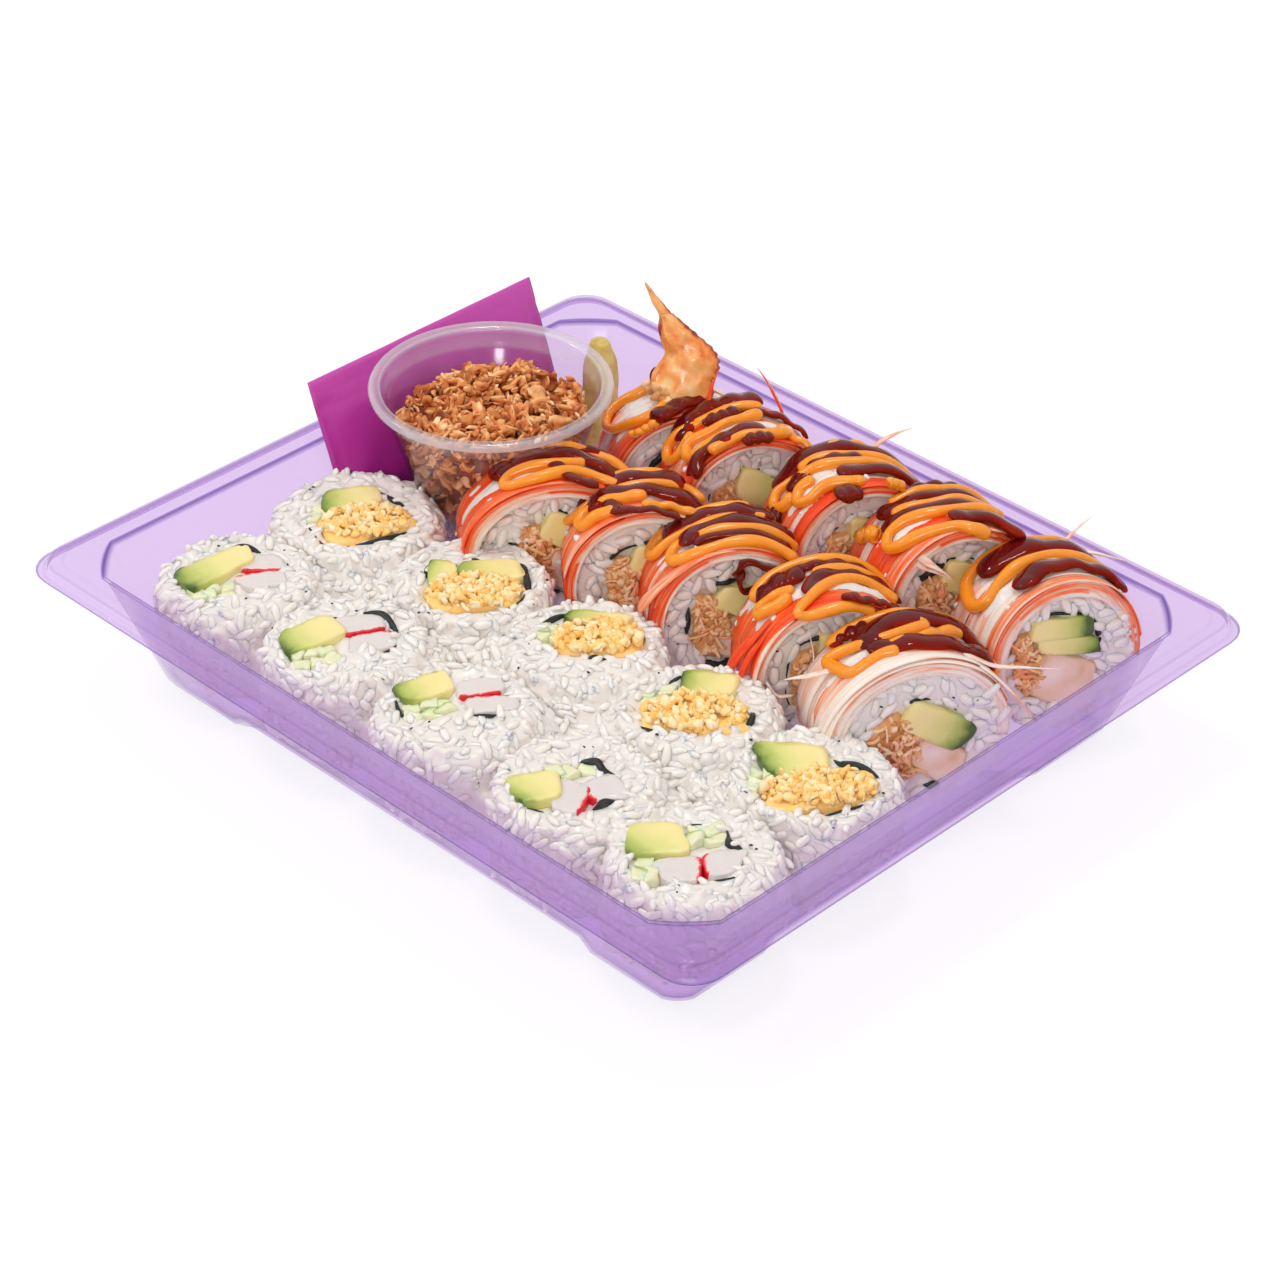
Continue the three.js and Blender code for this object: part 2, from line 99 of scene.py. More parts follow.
# Upright slices: middle of each in the tray, and the pieces of its filling. A piece is its
# kind, its place right of and beyond the slice's middle as met from the tray's near corner,
# its length, its width, and the turn of its length in degrees. An avocado piece ends with the
# way towards its green side.
UPRIGHT = {
    "roll_a1": ((-87.8, -63.5), [
        ("avocado", -6.5, 2.5, 24, 10, 41, 222), ("crab_low", 5.8, 5.6, 13, 8, 4),
        ("crab_top", 6.6, -2.8, 13, 7.5, 14), ("cucumber", -6.5, -8.5, 12, 7, 12)]),
    "roll_a2": ((-43.8, -63.5), [
        ("avocado", -9.5, 1.5, 18, 11, 38, 225), ("crab_low", 3.4, 7.4, 14, 8.5, 8),
        ("crab_top", 7.2, -0.8, 13, 8, 18), ("cucumber", -7.5, -8.2, 12, 9, 12)]),
    "roll_a3": ((0.0, -63.5), [
        ("avocado", -8.8, 8, 15, 9.5, 28, 200), ("crab_low", 5.6, 9.4, 13, 8, 6),
        ("crab_top", 9.0, 1.6, 14, 7.5, 12), ("cucumber", -7.2, -0.4, 13, 8, 14)]),
    "roll_a4": ((45.0, -63.5), [
        ("avocado", -10.8, -3.2, 13.5, 12, 12, 215), ("crab_right", -2.2, -6.5, 9, 13, -8),
        ("crab_left", 6.5, -3.2, 11, 10, 16), ("cucumber", -2.5, 4.5, 14, 5, 8)]),
    "roll_a5": ((86.6, -63.5), [
        ("avocado", -10.0, 5, 15, 13, 0, 215), ("cucumber", 2.0, 7.5, 11, 8, 4),
        ("cucumber", -12.2, -6.5, 7, 10, -14), ("crab_right", -4.4, -6.6, 11.5, 10, 14),
        ("crab_left", 6.4, -3.6, 10.5, 10, 4)]),
    "roll_b1": ((-88.3, -20.0), [
        ("avocado", -2, 6.2, 17, 11, 14, 200), ("egg", 2.6, -5.4, 27, 17, 22),
        ("cucumber", -9.4, -0.8, 7, 10, -14)]),
    "roll_b2": ((-41.5, -20.0), [
        ("avocado", -8, 2.0, 8, 11, 0, 160), ("avocado", 5, 3.6, 18, 9, 0, 185),
        ("egg", 1, -7, 28, 16, 10)]),
    "roll_b3": ((2.3, -20.0), [
        ("egg", 3.8, 2.0, 26, 16, 0), ("avocado", 4, 11.2, 18, 5, -10, 175),
        ("cucumber", -9, 6.2, 8, 8, 0)]),
    "roll_b4": ((43.9, -20.0), [
        ("avocado", 3.5, 9.6, 15, 11, -8, 170), ("egg", -0.5, -2.6, 29, 17, 0),
        ("cucumber", -9.8, 6.0, 8, 8, 0)]),
    "roll_b5": ((85.2, -20.0), [
        ("avocado", -4.6, 6.2, 18, 14, 4, 185), ("egg", 1.6, -5.6, 31, 16, 10),
        ("cucumber", -13.4, -0.4, 7, 9, -10)]),
}

# Lying slices: middle of the front face, turn and lean of the axis in degrees, half width,
# half height and thickness, how much of the crab sheet is pale, how far the sheet stands in
# front of the face, and how thick it shows there.
LYING = {
    "roll_c1": ((-36.9, 8.9, 30), 38, 8, 27.2, 21.6, 19, 0.12, 3, 4.2),
    "roll_c2": ((-9.1, 15.8, 29), 40, 9, 23.2, 22.3, 22, 0.15, 3, 3),
    "roll_c3": ((20.5, 19, 29.5), 36, 9, 23, 22.5, 22, 0.15, 3, 3),
    "roll_c4": ((55.9, 20, 29), 33, 9, 23, 22.4, 23, 0.03, 4, 2.6),
    "roll_c5": ((89.1, 16.6, 27), 29, 6, 25.3, 22.4, 25, 0.95, 1, 3.6),
    "roll_d1": ((-38.4, 61.9, 27), 36, 8, 23, 22, 24, 0.15, 1, 2.6),
    "roll_d2": ((-12.4, 60.6, 31.5), 32, 10, 22.5, 22.5, 23, 0.15, 5, 2.6),
    "roll_d3": ((26.3, 64.4, 31.5), 28, 10, 22.5, 22.5, 24, 0.04, 4, 3),
    "roll_d4": ((58.4, 66.3, 32), 26, 10, 22.5, 22.5, 24, 0.08, 5.5, 3.4),
    "roll_d5": ((94, 69, 28.5), 25, 12, 23, 23, 26, 0.5, 2.5, 4.4),
}
COMMON_FILLING = [
    ("avocado", 3.5, 5.0, 17, 9, -24, -20), ("prawn", 3, -6.4, 15, 12, -30),
    ("shreds", -6.5, -1.5, 11, 20, 0)]
LYING_FILLING = {
    "roll_c5": [("avocado", 4.6, 3.0, 20, 9.5, -36, -30), ("prawn", 5.4, -7.6, 15, 11, -38),
                ("shreds", -6.2, -2.8, 13, 22, 24)],
    "roll_d5": [("avocado", -0.6, 9.0, 18, 6, -6, -5), ("avocado", 1.0, 3.8, 18, 5, -10, -20),
                ("prawn", -0.8, -6.2, 20, 14, -24), ("shreds", -11.0, 0.4, 8, 19, 8)],
}
SHEET_REACH = 100.0

# Sauces on each lying slice, one line after another: half width in millimetres, then places as
# degrees left of the top and millimetres before the front face, and for a hanging part how far
# above the sheet.
MAYONNAISE = {
    "roll_c1": [
        (1.8, [(25, -16), (11, -18.5), (-4, -19), (-20, -18), (-36, -15.5), (-48, -12)]),
        (1.9, [(-18, -9), (-8, -7.5), (4, -6.5), (16, -7), (27, -6.5), (31, -3), (25, 0), (12, 1), (2, 0),
            (-10, -2), (-24, -1), (-38, 1)])],
    "roll_c2": [
        (1.8, [(-16, -22), (-4, -22.5), (12, -21.5), (28, -20.5), (44, -20), (57, -18), (54, -13), (40, -12),
            (26, -12), (10, -12.5), (-4, -13), (-18, -14.5), (-32, -16), (-43, -13)]),
        (1.9, [(-1, -5), (12, -6), (26, -8), (40, -9.5), (48, -6), (43, -2.5), (31, -1.5), (20, -1)]),
        (1.6, [(4, 1.5), (-10, 1), (-24, 1), (-38, 2)])],
    "roll_c3": [
        (1.8, [(-20, -22), (-8, -22), (6, -21.5), (20, -21), (34, -20), (46, -20), (55, -17.5), (51, -14),
            (37, -13), (23, -12), (9, -13.5), (-5, -15), (-18, -16.5), (-30, -18)]),
        (1.9, [(-52, -10), (-40, -9), (-24, -8), (-8, -7), (6, -7.5), (20, -7), (35, -8), (42, -4),
            (36, 0.5), (22, 2), (8, 1.5), (-8, 1.5), (-24, 2), (-42, 3)])],
    "roll_c4": [
        (1.9, [(47, -15), (39, -18), (28, -20), (14, -21), (0, -21), (-14, -21), (-28, -22), (-45, -22),
            (-57, -19.5), (-54, -16.5), (-40, -15.5), (-24, -14.5), (-8, -14), (6, -13)]),
        (1.9, [(20, -8), (32, -9.5), (44, -11), (48, -8), (38, -5.5), (24, -4.5)]),
        (1.8, [(-52, -8), (-36, -9.5), (-20, -9), (-6, -7.5), (6, -4), (17, 1), (26, 5), (21, 8.5), (8, 9),
            (-8, 9), (-26, 9.5)])],
    "roll_c5": [
        (2.0, [(41, -22), (30, -23.5), (15, -24), (0, -24), (-14, -24), (-28, -24), (-44, -24), (-58, -22),
            (-66, -17), (-70, -11)]),
        (1.9, [(2, -19.5), (-12, -20), (-16, -18), (-9, -16), (2, -14), (14, -13.5), (26, -15), (38, -17.5),
            (46, -18), (43, -12), (38, -7), (30, -6), (18, -6.5), (8, -5.5)]),
        (1.8, [(12, -9.5), (-2, -10), (-14, -12), (-28, -15.5), (-42, -19)])],
    "roll_d1": [
        (1.8, [(-18, -21), (-6, -19), (6, -21), (27, -20.7), (42, -22), (54, -21), (58, -17), (53, -11),
            (40, -6), (29, -3), (18, -4), (9, -8), (-1, -12), (-10, -15)]),
        (1.2, [(44, 0), (34, 3), (22, 3)])],
    "roll_d2": [
        (1.8, [(-18, -16), (-2, -16.5), (14, -16.5), (28, -16), (42, -17.5), (55, -18), (61, -14),
            (55, -10.5), (44, -10.5), (34, -11.5)]),
        (1.8, [(-14, -10), (2, -8.5), (16, -7), (30, -7.5), (43, -8), (47, -4), (41, -1), (30, -0.5),
            (17, -1)]),
        (1.8, [(33, 5), (20, 4), (6, 4), (-8, 4), (-20, 3), (-27, -1), (-20, -3)]),
        (1.5, [(-26, 1), (-37, 4), (-48, 6)])],
    "roll_d3": [
        (1.8, [(8, -22.5), (-6, -23), (-20, -23), (-29, -20)]),
        (1.8, [(31, -18), (16, -18), (0, -17), (-16, -16), (-34, -14), (-52, -11)]),
        (1.9, [(-32, -8.5), (-14, -10), (4, -12), (20, -13.5), (36, -16), (50, -18), (59, -15), (54, -11),
            (43, -10.5)]),
        (2.0, [(26, -9), (38, -9), (45, -5.5), (38, -2.5), (26, -2), (13, 0), (0, 3)]),
        (1.4, [(-13, 5), (-26, 6)])],
    "roll_d4": [
        (2.2, [(55, -21), (52, -19.5)]),
        (2.3, [(49, -17.5), (46, -13.5)]),
        (1.8, [(27, -21), (12, -21), (-4, -21), (-20, -21), (-36, -20), (-51, -16)]),
        (1.8, [(31, -15), (16, -13.5), (0, -12.5), (-14, -12), (-32, -12), (-50, -11)]),
        (2.0, [(-36, -6), (-18, -5.5), (0, -6), (14, -7.5), (28, -9.5), (41, -9), (47, -5), (41, -1),
            (28, 1), (14, 3), (2, 5), (-9, 9), (-18, 13)])],
    "roll_d5": [
        (2.0, [(-37, -22), (-26, -24.5), (-14, -25), (0, -25), (16, -25), (32, -24.5), (45, -23), (53, -18),
            (54, -13), (46, -10), (34, -11), (21, -12), (7, -13), (-8, -14.5), (-22, -14), (-38, -13),
            (-56, -11)]),
        (2.2, [(-24, -25), (-30, -22), (-36, -25), (-32, -27)])],
}
GLAZE = {
    "roll_c1": [
        (2.2, [(32, -15), (30, -10), (25, -6)]),
        (2.6, [(25, -12), (12, -13), (0, -14), (-14, -13), (-24, -9), (-33, -6), (-42, -8)]),
        (1.6, [(14, -19), (0, -20), (-16, -20), (-32, -18), (-46, -14)]),
        (1.7, [(4, -9), (-2, -4), (-7, 2), (-14, 5), (-22, 4)])],
    "roll_c2": [
        (2.9, [(45, -14), (37, -17), (24, -18), (10, -18), (-4, -18), (-18, -18), (-30, -19)]),
        (2.9, [(40, -9), (27, -10.5), (13, -9.5), (0, -9), (-12, -8), (-24, -7), (-36, -6), (-42, -9)]),
        (1.5, [(27, -7), (22, -2), (14, 3), (4, 4), (-8, 5), (-22, 8)])],
    "roll_c3": [
        (2.9, [(42, -17), (29, -17), (14, -17.5), (0, -18), (-14, -19), (-27, -20), (-36, -18)]),
        (2.7, [(29, -4), (23, -9), (10, -10.5), (-4, -11), (-18, -12.5), (-34, -14), (-50, -14)]),
        (1.6, [(25, -3), (10, -3.5), (-6, -3.5), (-24, -3.5), (-42, -4)]),
        (1.4, [(-46, 4.5, -1), (-30, 4.5, -4), (-15, 4.5, -3.5), (-4, 4.5, -4.5), (-2, 4, -8),
            (-7, 4, -11.5), (-18, 4, -12), (-27, 4, -10)])],
    "roll_c4": [
        (2.8, [(45, -13), (35, -14.5), (22, -14.5), (11, -12)]),
        (2.0, [(13, -1), (8, -7), (-4, -11.5), (-18, -12), (-34, -12.5), (-50, -13), (-60, -12)]),
        (1.5, [(-4, 2), (-14, 5), (-30, 4), (-46, 2)]),
        (1.6, [(14, -17.5), (-4, -17.5), (-20, -18), (-40, -18.5)])],
    "roll_c5": [
        (2.2, [(40, -22), (28, -22.5), (15, -20)]),
        (3.2, [(25, -13), (14, -17.5), (2, -20), (-12, -22), (-26, -22), (-40, -22), (-52, -20), (-57, -14),
            (-51, -9)]),
        (2.7, [(23, -11.5), (12, -9), (0, -8), (-14, -7.5), (-28, -7.5), (-42, -8), (-52, -9)])],
    "roll_d1": [
        (3.0, [(24, 2), (12, -1), (0, -5), (-8, -10), (-13, -14), (-16, -19)])],
    "roll_d2": [
        (3.2, [(43, -14), (36, -19), (21, -21), (4, -21.5), (-12, -22), (-22, -22)]),
        (1.6, [(-2, -12), (-14, -12.5), (-28, -13), (-42, -11), (-54, -12)]),
        (2.2, [(26, -13.5), (12, -12.5), (-2, -13)]),
        (2.6, [(52, 10), (46, 5), (34, 2.5), (20, 2), (6, 1), (-10, 0)]),
        (2.2, [(10, 8), (0, 7), (-12, 7)])],
    "roll_d3": [
        (3.0, [(51, -19), (35, -21), (16, -22), (-2, -22), (-20, -21), (-38, -18), (-52, -14)]),
        (2.8, [(66, -17), (64, -13), (63, -9)]),
        (2.0, [(45, -14), (32, -14.5), (17, -15.5), (2, -14.5), (-12, -13)]),
        (2.6, [(13, -4), (-6, -5), (-22, -5), (-38, -6), (-54, -8)]),
        (3.2, [(24, 6), (14, 8), (5, 9)])],
    "roll_d4": [
        (1.8, [(16, -23), (2, -23), (-14, -23), (-32, -22)]),
        (2.0, [(38, -20), (22, -17.5), (6, -17), (-10, -16.5), (-26, -16.5), (-44, -16)]),
        (2.1, [(42, -11), (31, -12.5), (18, -10.5), (4, -9), (-12, -8.5), (-30, -9)]),
        (3.0, [(4, 1), (-10, 0), (-24, 1), (-38, 3), (-48, 5)])],
    "roll_d5": [
        (3.9, [(37, -18), (24, -20), (8, -20.5), (-8, -20.5), (-24, -20), (-40, -19), (-54, -18), (-67, -14),
            (-66, -9)]),
        (2.7, [(28, -1), (20, -4), (6, -6), (-10, -6), (-28, -6), (-46, -7), (-60, -9)])],
}


# ------------------------------------------------------------------ small tools


def colour(text):
    """Turn an sRGB hex colour into the linear colour that shaders take."""
    parts = [int(text[i:i + 2], 16) / 255 for i in (1, 3, 5)]
    linear = [c / 12.92 if c <= 0.04045 else ((c + 0.055) / 1.055) ** 2.4 for c in parts]
    return (*linear, 1.0)


def waves(points, size, seed, count=7):
    """Smooth random relief from -1 to 1 at each point, with hills about one size across."""
    rng = np.random.default_rng(seed)
    ways = rng.normal(size=(count, 3))
    ways *= (2 * math.pi / size) * rng.uniform(0.5, 1.1, (count, 1)) / np.linalg.norm(ways, axis=1)[:, None]
    phases = rng.uniform(0, 2 * math.pi, count)
    return np.sin(points @ ways.T + phases).sum(axis=-1) / math.sqrt(count) * 0.8


def unit(vectors):
    """Scale vectors to length one."""
    return vectors / np.maximum(np.linalg.norm(vectors, axis=-1, keepdims=True), 1e-9)


def smooth_path(points, count):
    """Points spread evenly along a smooth curve through the given ones."""
    points = np.asarray(points, float)
    ends = np.vstack([2 * points[0] - points[1], points, 2 * points[-1] - points[-2]])
    t = np.linspace(0, len(points) - 1 - 1e-6, len(points) * 24)
    k = t.astype(int)
    f = (t - k)[:, None]
    a, b, c, d = ends[k], ends[k + 1], ends[k + 2], ends[k + 3]
    curve = 0.5 * (2 * b + (c - a) * f + (2 * a - 5 * b + 4 * c - d) * f ** 2
                   + (3 * b - a - 3 * c + d) * f ** 3)
    steps = np.concatenate([[0], np.cumsum(np.linalg.norm(np.diff(curve, axis=0), axis=1))])
    even = np.linspace(0, steps[-1], count)
    return np.stack([np.interp(even, steps, curve[:, i]) for i in range(curve.shape[1])], axis=1)


class Shape:
    """The points and faces of one small shape, to be repeated by the hundred."""

    def __init__(self, bm):
        bm.verts.index_update()
        self.points = np.array([v.co[:] for v in bm.verts])
        self.loops = np.array([v.index for f in bm.faces for v in f.verts])
        self.sizes = np.array([len(f.verts) for f in bm.faces])
        bm.free()


def grain_shape():
    """A six sided bead."""
    bm = bmesh.new()
    bmesh.ops.create_uvsphere(bm, u_segments=6, v_segments=5, radius=1)
    bmesh.ops.rotate(bm, verts=bm.verts, matrix=Matrix.Rotation(math.pi / 2, 3, "Y"))
    return Shape(bm)


def crumb_shape():
    """A rounded lump with a few dozen faces."""
    bm = bmesh.new()
    bmesh.ops.create_icosphere(bm, subdivisions=2, radius=1)
    return Shape(bm)


def tube_shape(sections, sides):
    """A rod from -1 to 1 along Z, cut into sections."""
    bm = bmesh.new()
    bmesh.ops.create_cone(bm, cap_ends=True, segments=sides, radius1=1, radius2=1, depth=2)
    long_edges = [e for e in bm.edges if abs(e.verts[0].co.z - e.verts[1].co.z) > 1]
    bmesh.ops.subdivide_edges(bm, edges=long_edges, cuts=sections - 2, use_grid_fill=True)
    return Shape(bm)


def block_shape(cuts):
    """A cube from -1 to 1 with its edges along each axis cut that many times."""
    bm = bmesh.new()
    bmesh.ops.create_cube(bm, size=2)
    for axis, number in enumerate(cuts):
        if number:
            along = [e for e in bm.edges if abs(e.verts[0].co[axis] - e.verts[1].co[axis]) > 1.9]
            bmesh.ops.subdivide_edges(bm, edges=along, cuts=number, use_grid_fill=True)
    return Shape(bm)


class Heap:
    """Many small shapes joined as one mesh, with named values kept at their points."""

    def __init__(self, *names):
        self.names = names
        self.points, self.loops, self.sizes = [], [], []
        self.values = {name: [] for name in names}
        self.count = 0

    def add(self, shape, points, **values):
        """Add one or more copies of a shape, from their points in millimetres: copy, point, axis."""
        points = points.reshape(-1, len(shape.points), 3)
        copies, size = points.shape[:2]
        starts = self.count + size * np.arange(copies)
        self.points.append(points.reshape(-1, 3))
        self.loops.append((shape.loops[None, :] + starts[:, None]).ravel())
        self.sizes.append(np.tile(shape.sizes, copies))
        for name in self.names:
            value = np.asarray(values.get(name, 0.0), float)
            if value.ndim == 1 and len(value) == copies and copies != size:
                value = value[:, None]
            self.values[name].append(np.broadcast_to(value, (copies, size)).ravel())
        self.count += copies * size

    def build(self, name):
        """Make the mesh object."""
        points = np.concatenate(self.points) * MM
        loops = np.concatenate(self.loops)
        sizes = np.concatenate(self.sizes)
        mesh = bpy.data.meshes.new(name)
        mesh.vertices.add(len(points))
        mesh.vertices.foreach_set("co", points.ravel())
        mesh.loops.add(len(loops))
        mesh.loops.foreach_set("vertex_index", loops)
        mesh.polygons.add(len(sizes))
        mesh.polygons.foreach_set("loop_start", np.concatenate([[0], np.cumsum(sizes)[:-1]]))
        mesh.update(calc_edges=True)
        for key in self.names:
            kept = mesh.attributes.new(key, "FLOAT", "POINT")
            kept.data.foreach_set("value", np.concatenate(self.values[key]))
        mesh.polygons.foreach_set("use_smooth", np.ones(len(sizes), bool))
        return link_object(name, mesh)


def fuse(obj, voxel):
    """Melt the overlapping bits of a piece into one skin, cut about every voxel millimetres."""
    skin = obj.modifiers.new("fuse", "REMESH")
    skin.mode = "VOXEL"
    skin.voxel_size = voxel * MM
    skin.use_smooth_shade = True
    return obj


def link_object(name, mesh):
    """Put a mesh in the scene as an object at the origin."""
    obj = bpy.data.objects.new(name, mesh)
    bpy.context.scene.collection.objects.link(obj)
    return obj


def from_bmesh(name, bm):
    """Make a smooth shaded object of a bmesh that is worked in millimetres."""
    bmesh.ops.scale(bm, vec=(MM, MM, MM), verts=bm.verts)
    mesh = bpy.data.meshes.new(name)
    bm.to_mesh(mesh)
    bm.free()
    mesh.polygons.foreach_set("use_smooth", np.ones(len(mesh.polygons), bool))
    return link_object(name, mesh)


def place(obj, material, slot, *nodes):
    """Finish a piece: its material, its slot (not used), its body, and the solids that it stands for."""
    obj.data.materials.clear()
    obj.data.materials.append(material)
    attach(obj, "root")
    if nodes:
        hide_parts(*nodes)
    return obj


# ------------------------------------------------------------------ the slices


class Slice:
    """One upright slice's own axes: right and up on its face, and out of it."""

    # Its rice: the seed, how far apart the grains of the skin lie as a share of the spacing, how
    # deep they sink in the filling's hollow and elsewhere, how much they follow a ring round it,
    # how much they tilt, and how plump they are. Then the same for the loose grains on the skin.
    seed, spread, hollow, sink, swirl, tilt, plump = 100, 1.0, 2.4, (0.2, 1.1), 0.7, 0.35, 1.0
    loose_spread, loose_sink, loose_plump = 0.82, (0.0, 0.75), 1.0

    def __init__(self, origin, right, up, out, filling):
        self.origin = np.array(origin, float)
        self.right, self.up, self.out = (np.array(v, float) for v in (right, up, out))
        self.filling = filling

    def point(self, right, up, out):
        """A place in the tray from millimetres along the slice's axes."""
        right, up, out = np.broadcast_arrays(right, up, out)
        return (self.origin + right[..., None] * self.right + up[..., None] * self.up
                + out[..., None] * self.out)

    def local(self, points):
        """Millimetres along the slice's axes of places in the tray."""
        away = points - self.origin
        return away @ self.right, away @ self.up, away @ self.out

    def on_face(self, places, ways):
        """Which places lie on the cut face that shows."""
        return (self.local(places)[2] > -FACE_DEPTH) & (ways[:, 2] > 0.3)

    def hidden(self, places, ways):
        """Which places lie against another slice or under this one."""
        others = [other for other in UPRIGHTS.values() if other is not self]
        return (nearest_footprint(places[:, 0], places[:, 1], others) < 0.94) | (ways[:, 2] <= -0.6)


class LyingSlice(Slice):
    """A slice on its side, wrapped in a crab sheet."""

    seed, spread, hollow, sink, swirl, tilt, plump = 500, 1.15, 2.2, (0.9, 1.5), 0.5, 0.14, 1.3
    loose_spread, loose_sink, loose_plump = 1.02, (0.0, 0.7), 1.15

    def __init__(self, at, turn, lean, half_width, half_height, thickness, pale, front, hem, filling):
        turn, lean = math.radians(turn), math.radians(lean)
        out = np.array([math.cos(turn) * math.cos(lean), -math.sin(turn) * math.cos(lean), math.sin(lean)])
        left = unit(np.cross(out, [0, 0, 1]))
        super().__init__(at, -left, np.cross(left, out), out, filling)
        self.width, self.height, self.thickness, self.pale = half_width, half_height, thickness, pale
        self.front, self.hem = front, hem
        self.low = at[2] - 0.5 * thickness * math.sin(lean) - FLOOR_TOP + 0.8

    def wrap(self, angle, along, out):
        """A place on the crab sheet: degrees left of the top, millimetres in front of the
        front face, and millimetres above the sheet. Also the way out of it there."""
        angle, along, out = np.broadcast_arrays(np.radians(angle), along, out)
        tall = np.where(np.cos(angle) > 0, self.height, self.low)
        reach = out[..., None]
        radial = -self.right * np.sin(angle)[..., None] + self.up * np.cos(angle)[..., None]
        base = (-self.right * (self.width * np.sin(angle))[..., None]
                + self.up * (tall * np.cos(angle))[..., None])
        return self.origin + base + reach * radial + self.out * along[..., None], radial

    def on_face(self, places, ways):
        """Which places lie on one of the two cut faces."""
        return np.abs(ways @ self.out) > 0.6

    def hidden(self, places, ways):
        """Which places lie under the crab sheet."""
        right, up, _ = self.local(places)
        tall = np.where(up > 0, self.height, self.low)
        angle = np.degrees(np.arctan2(-right / self.width, up / tall))
        share = np.hypot(right / self.width, up / tall)
        return (np.abs(angle) < SHEET_REACH) & (share > np.where(self.on_face(places, ways), 0.93, 0.78))


DIAGONAL = math.sqrt(0.5)
UPRIGHTS = {
    name: Slice((*middle, SLICE_TOP), (DIAGONAL, DIAGONAL, 0), (-DIAGONAL, DIAGONAL, 0), (0, 0, 1), filling)
    for name, (middle, filling) in UPRIGHT.items()}
LYINGS = {
    name: LyingSlice(*sizes, LYING_FILLING.get(name, COMMON_FILLING)) for name, sizes in LYING.items()}

# Each row of rice: its slices, how coarsely its skin is cut in millimetres, and its slot.
RICE_ROWS = (("a", UPRIGHTS, 1.05, "sushi_rice"), ("b", UPRIGHTS, 1.05, "sushi_rice"),
             ("c", LYINGS, 1.15, "crab_roll"), ("d", LYINGS, 1.15, "crab_roll"))


def turned(right, up, degrees):
    """Millimetres right and up on a slice's face, after a turn about its middle."""
    turn = math.radians(degrees)
    return right * math.cos(turn) - up * math.sin(turn), right * math.sin(turn) + up * math.cos(turn)


def in_piece(piece, right, up, grow):
    """Whether places on a slice's face lie on a piece of its filling, grown by so much."""
    _, at_right, at_up, length, width, turn = piece[:6]
    along, across = turned(right - at_right, up - at_up, -turn)
    return (np.abs(along / (length / 2 + grow)) ** 2.6 + np.abs(across / (width / 2 + grow)) ** 2.6) < 1


# ------------------------------------------------------------------ materials


def add_node(tree, kind, inputs=None, stops=None, **settings):
    """Add a node with its settings, its ramp's colours, and its input values or links. A texture
    reads Object coordinates unless it is given others."""
    node = tree.nodes.new(kind)
    for key, value in settings.items():
        setattr(node, key, value)
    if stops:
        ramp = node.color_ramp.elements
        while len(ramp) < len(stops):
            ramp.new(0.5)
        for element, (position, shade) in zip(ramp, stops):
            element.position = position
            element.color = colour(shade)
    for key, value in (inputs or {}).items():
        if isinstance(value, bpy.types.NodeSocket):
            tree.links.new(value, node.inputs[key])
        else:
            node.inputs[key].default_value = value
    if kind.startswith("ShaderNodeTex") and "Vector" in node.inputs and not node.inputs["Vector"].is_linked:
        tree.links.new(tree.nodes.new("ShaderNodeTexCoord").outputs["Object"], node.inputs["Vector"])
    return node


def per_metre(grain_mm):
    """A texture's scale from the real size of its grain in millimetres."""
    return 1 / (grain_mm * MM)


def new_material(name, **inputs):
    """A material with one Principled shader whose sockets take the given values."""
    material = bpy.data.materials.new(name)
    material.use_nodes = True
    shader = material.node_tree.nodes["Principled BSDF"]
    for key, value in inputs.items():
        shader.inputs[key.replace("_", " ")].default_value = value
    return material, material.node_tree, shader


def kept_level(tree, name, grain, gain, middle=0.5):
    """The value kept at a piece's points, moved by a grain: up where it is over its middle."""
    kept = add_node(tree, "ShaderNodeAttribute", attribute_name=name).outputs["Fac"]
    moved = add_node(tree, "ShaderNodeMath", {0: grain, 1: gain, 2: -gain * middle},
                     operation="MULTIPLY_ADD")
    return add_node(tree, "ShaderNodeMath", {0: kept, 1: moved.outputs[0]}, operation="ADD").outputs[0]


def dress(tree, shader, height, strength, rise_mm, level=None, stops=None):
    """Let a pattern raise a finish by up to so many millimetres, and colour it along its stops."""
    rise = rise_mm * MM
    bump = add_node(tree, "ShaderNodeBump", {"Strength": strength, "Distance": rise, "Height": height})
    tree.links.new(bump.outputs[0], shader.inputs["Normal"])
    if stops:
        shade = add_node(tree, "ShaderNodeValToRGB", {0: level}, stops=stops).outputs[0]
        tree.links.new(shade, shader.inputs["Base Color"])
    return bump.outputs[0]


def grained_food(name, kept, stops, grain_mm, gain, strength, rise_mm, detail=3.0, **inputs):
    """Food with a fine grain, which raises its surface and moves its colour along the stops: by
    the gain, round a value kept at its points, or by itself where it keeps none."""
    material, tree, shader = new_material(name, **inputs)
    scale = per_metre(grain_mm)
    grain = add_node(tree, "ShaderNodeTexNoise", {"Scale": scale, "Detail": detail}).outputs["Fac"]
    level = kept_level(tree, kept, grain, gain) if kept else grain
    dress(tree, shader, grain, strength, rise_mm, level, stops)
    return material


def surface_gloss(tree, ior, **inputs):
    """How much a clear wall mirrors, counted on the way into it only."""
    mirror = add_node(tree, "ShaderNodeFresnel", {"IOR": ior, **inputs}).outputs[0]
    inside = add_node(tree, "ShaderNodeNewGeometry").outputs["Backfacing"]
    outside = add_node(tree, "ShaderNodeMath", {0: 1.0, 1: inside}, operation="SUBTRACT").outputs[0]
    return add_node(tree, "ShaderNodeMath", {0: mirror, 1: outside}, operation="MULTIPLY").outputs[0]


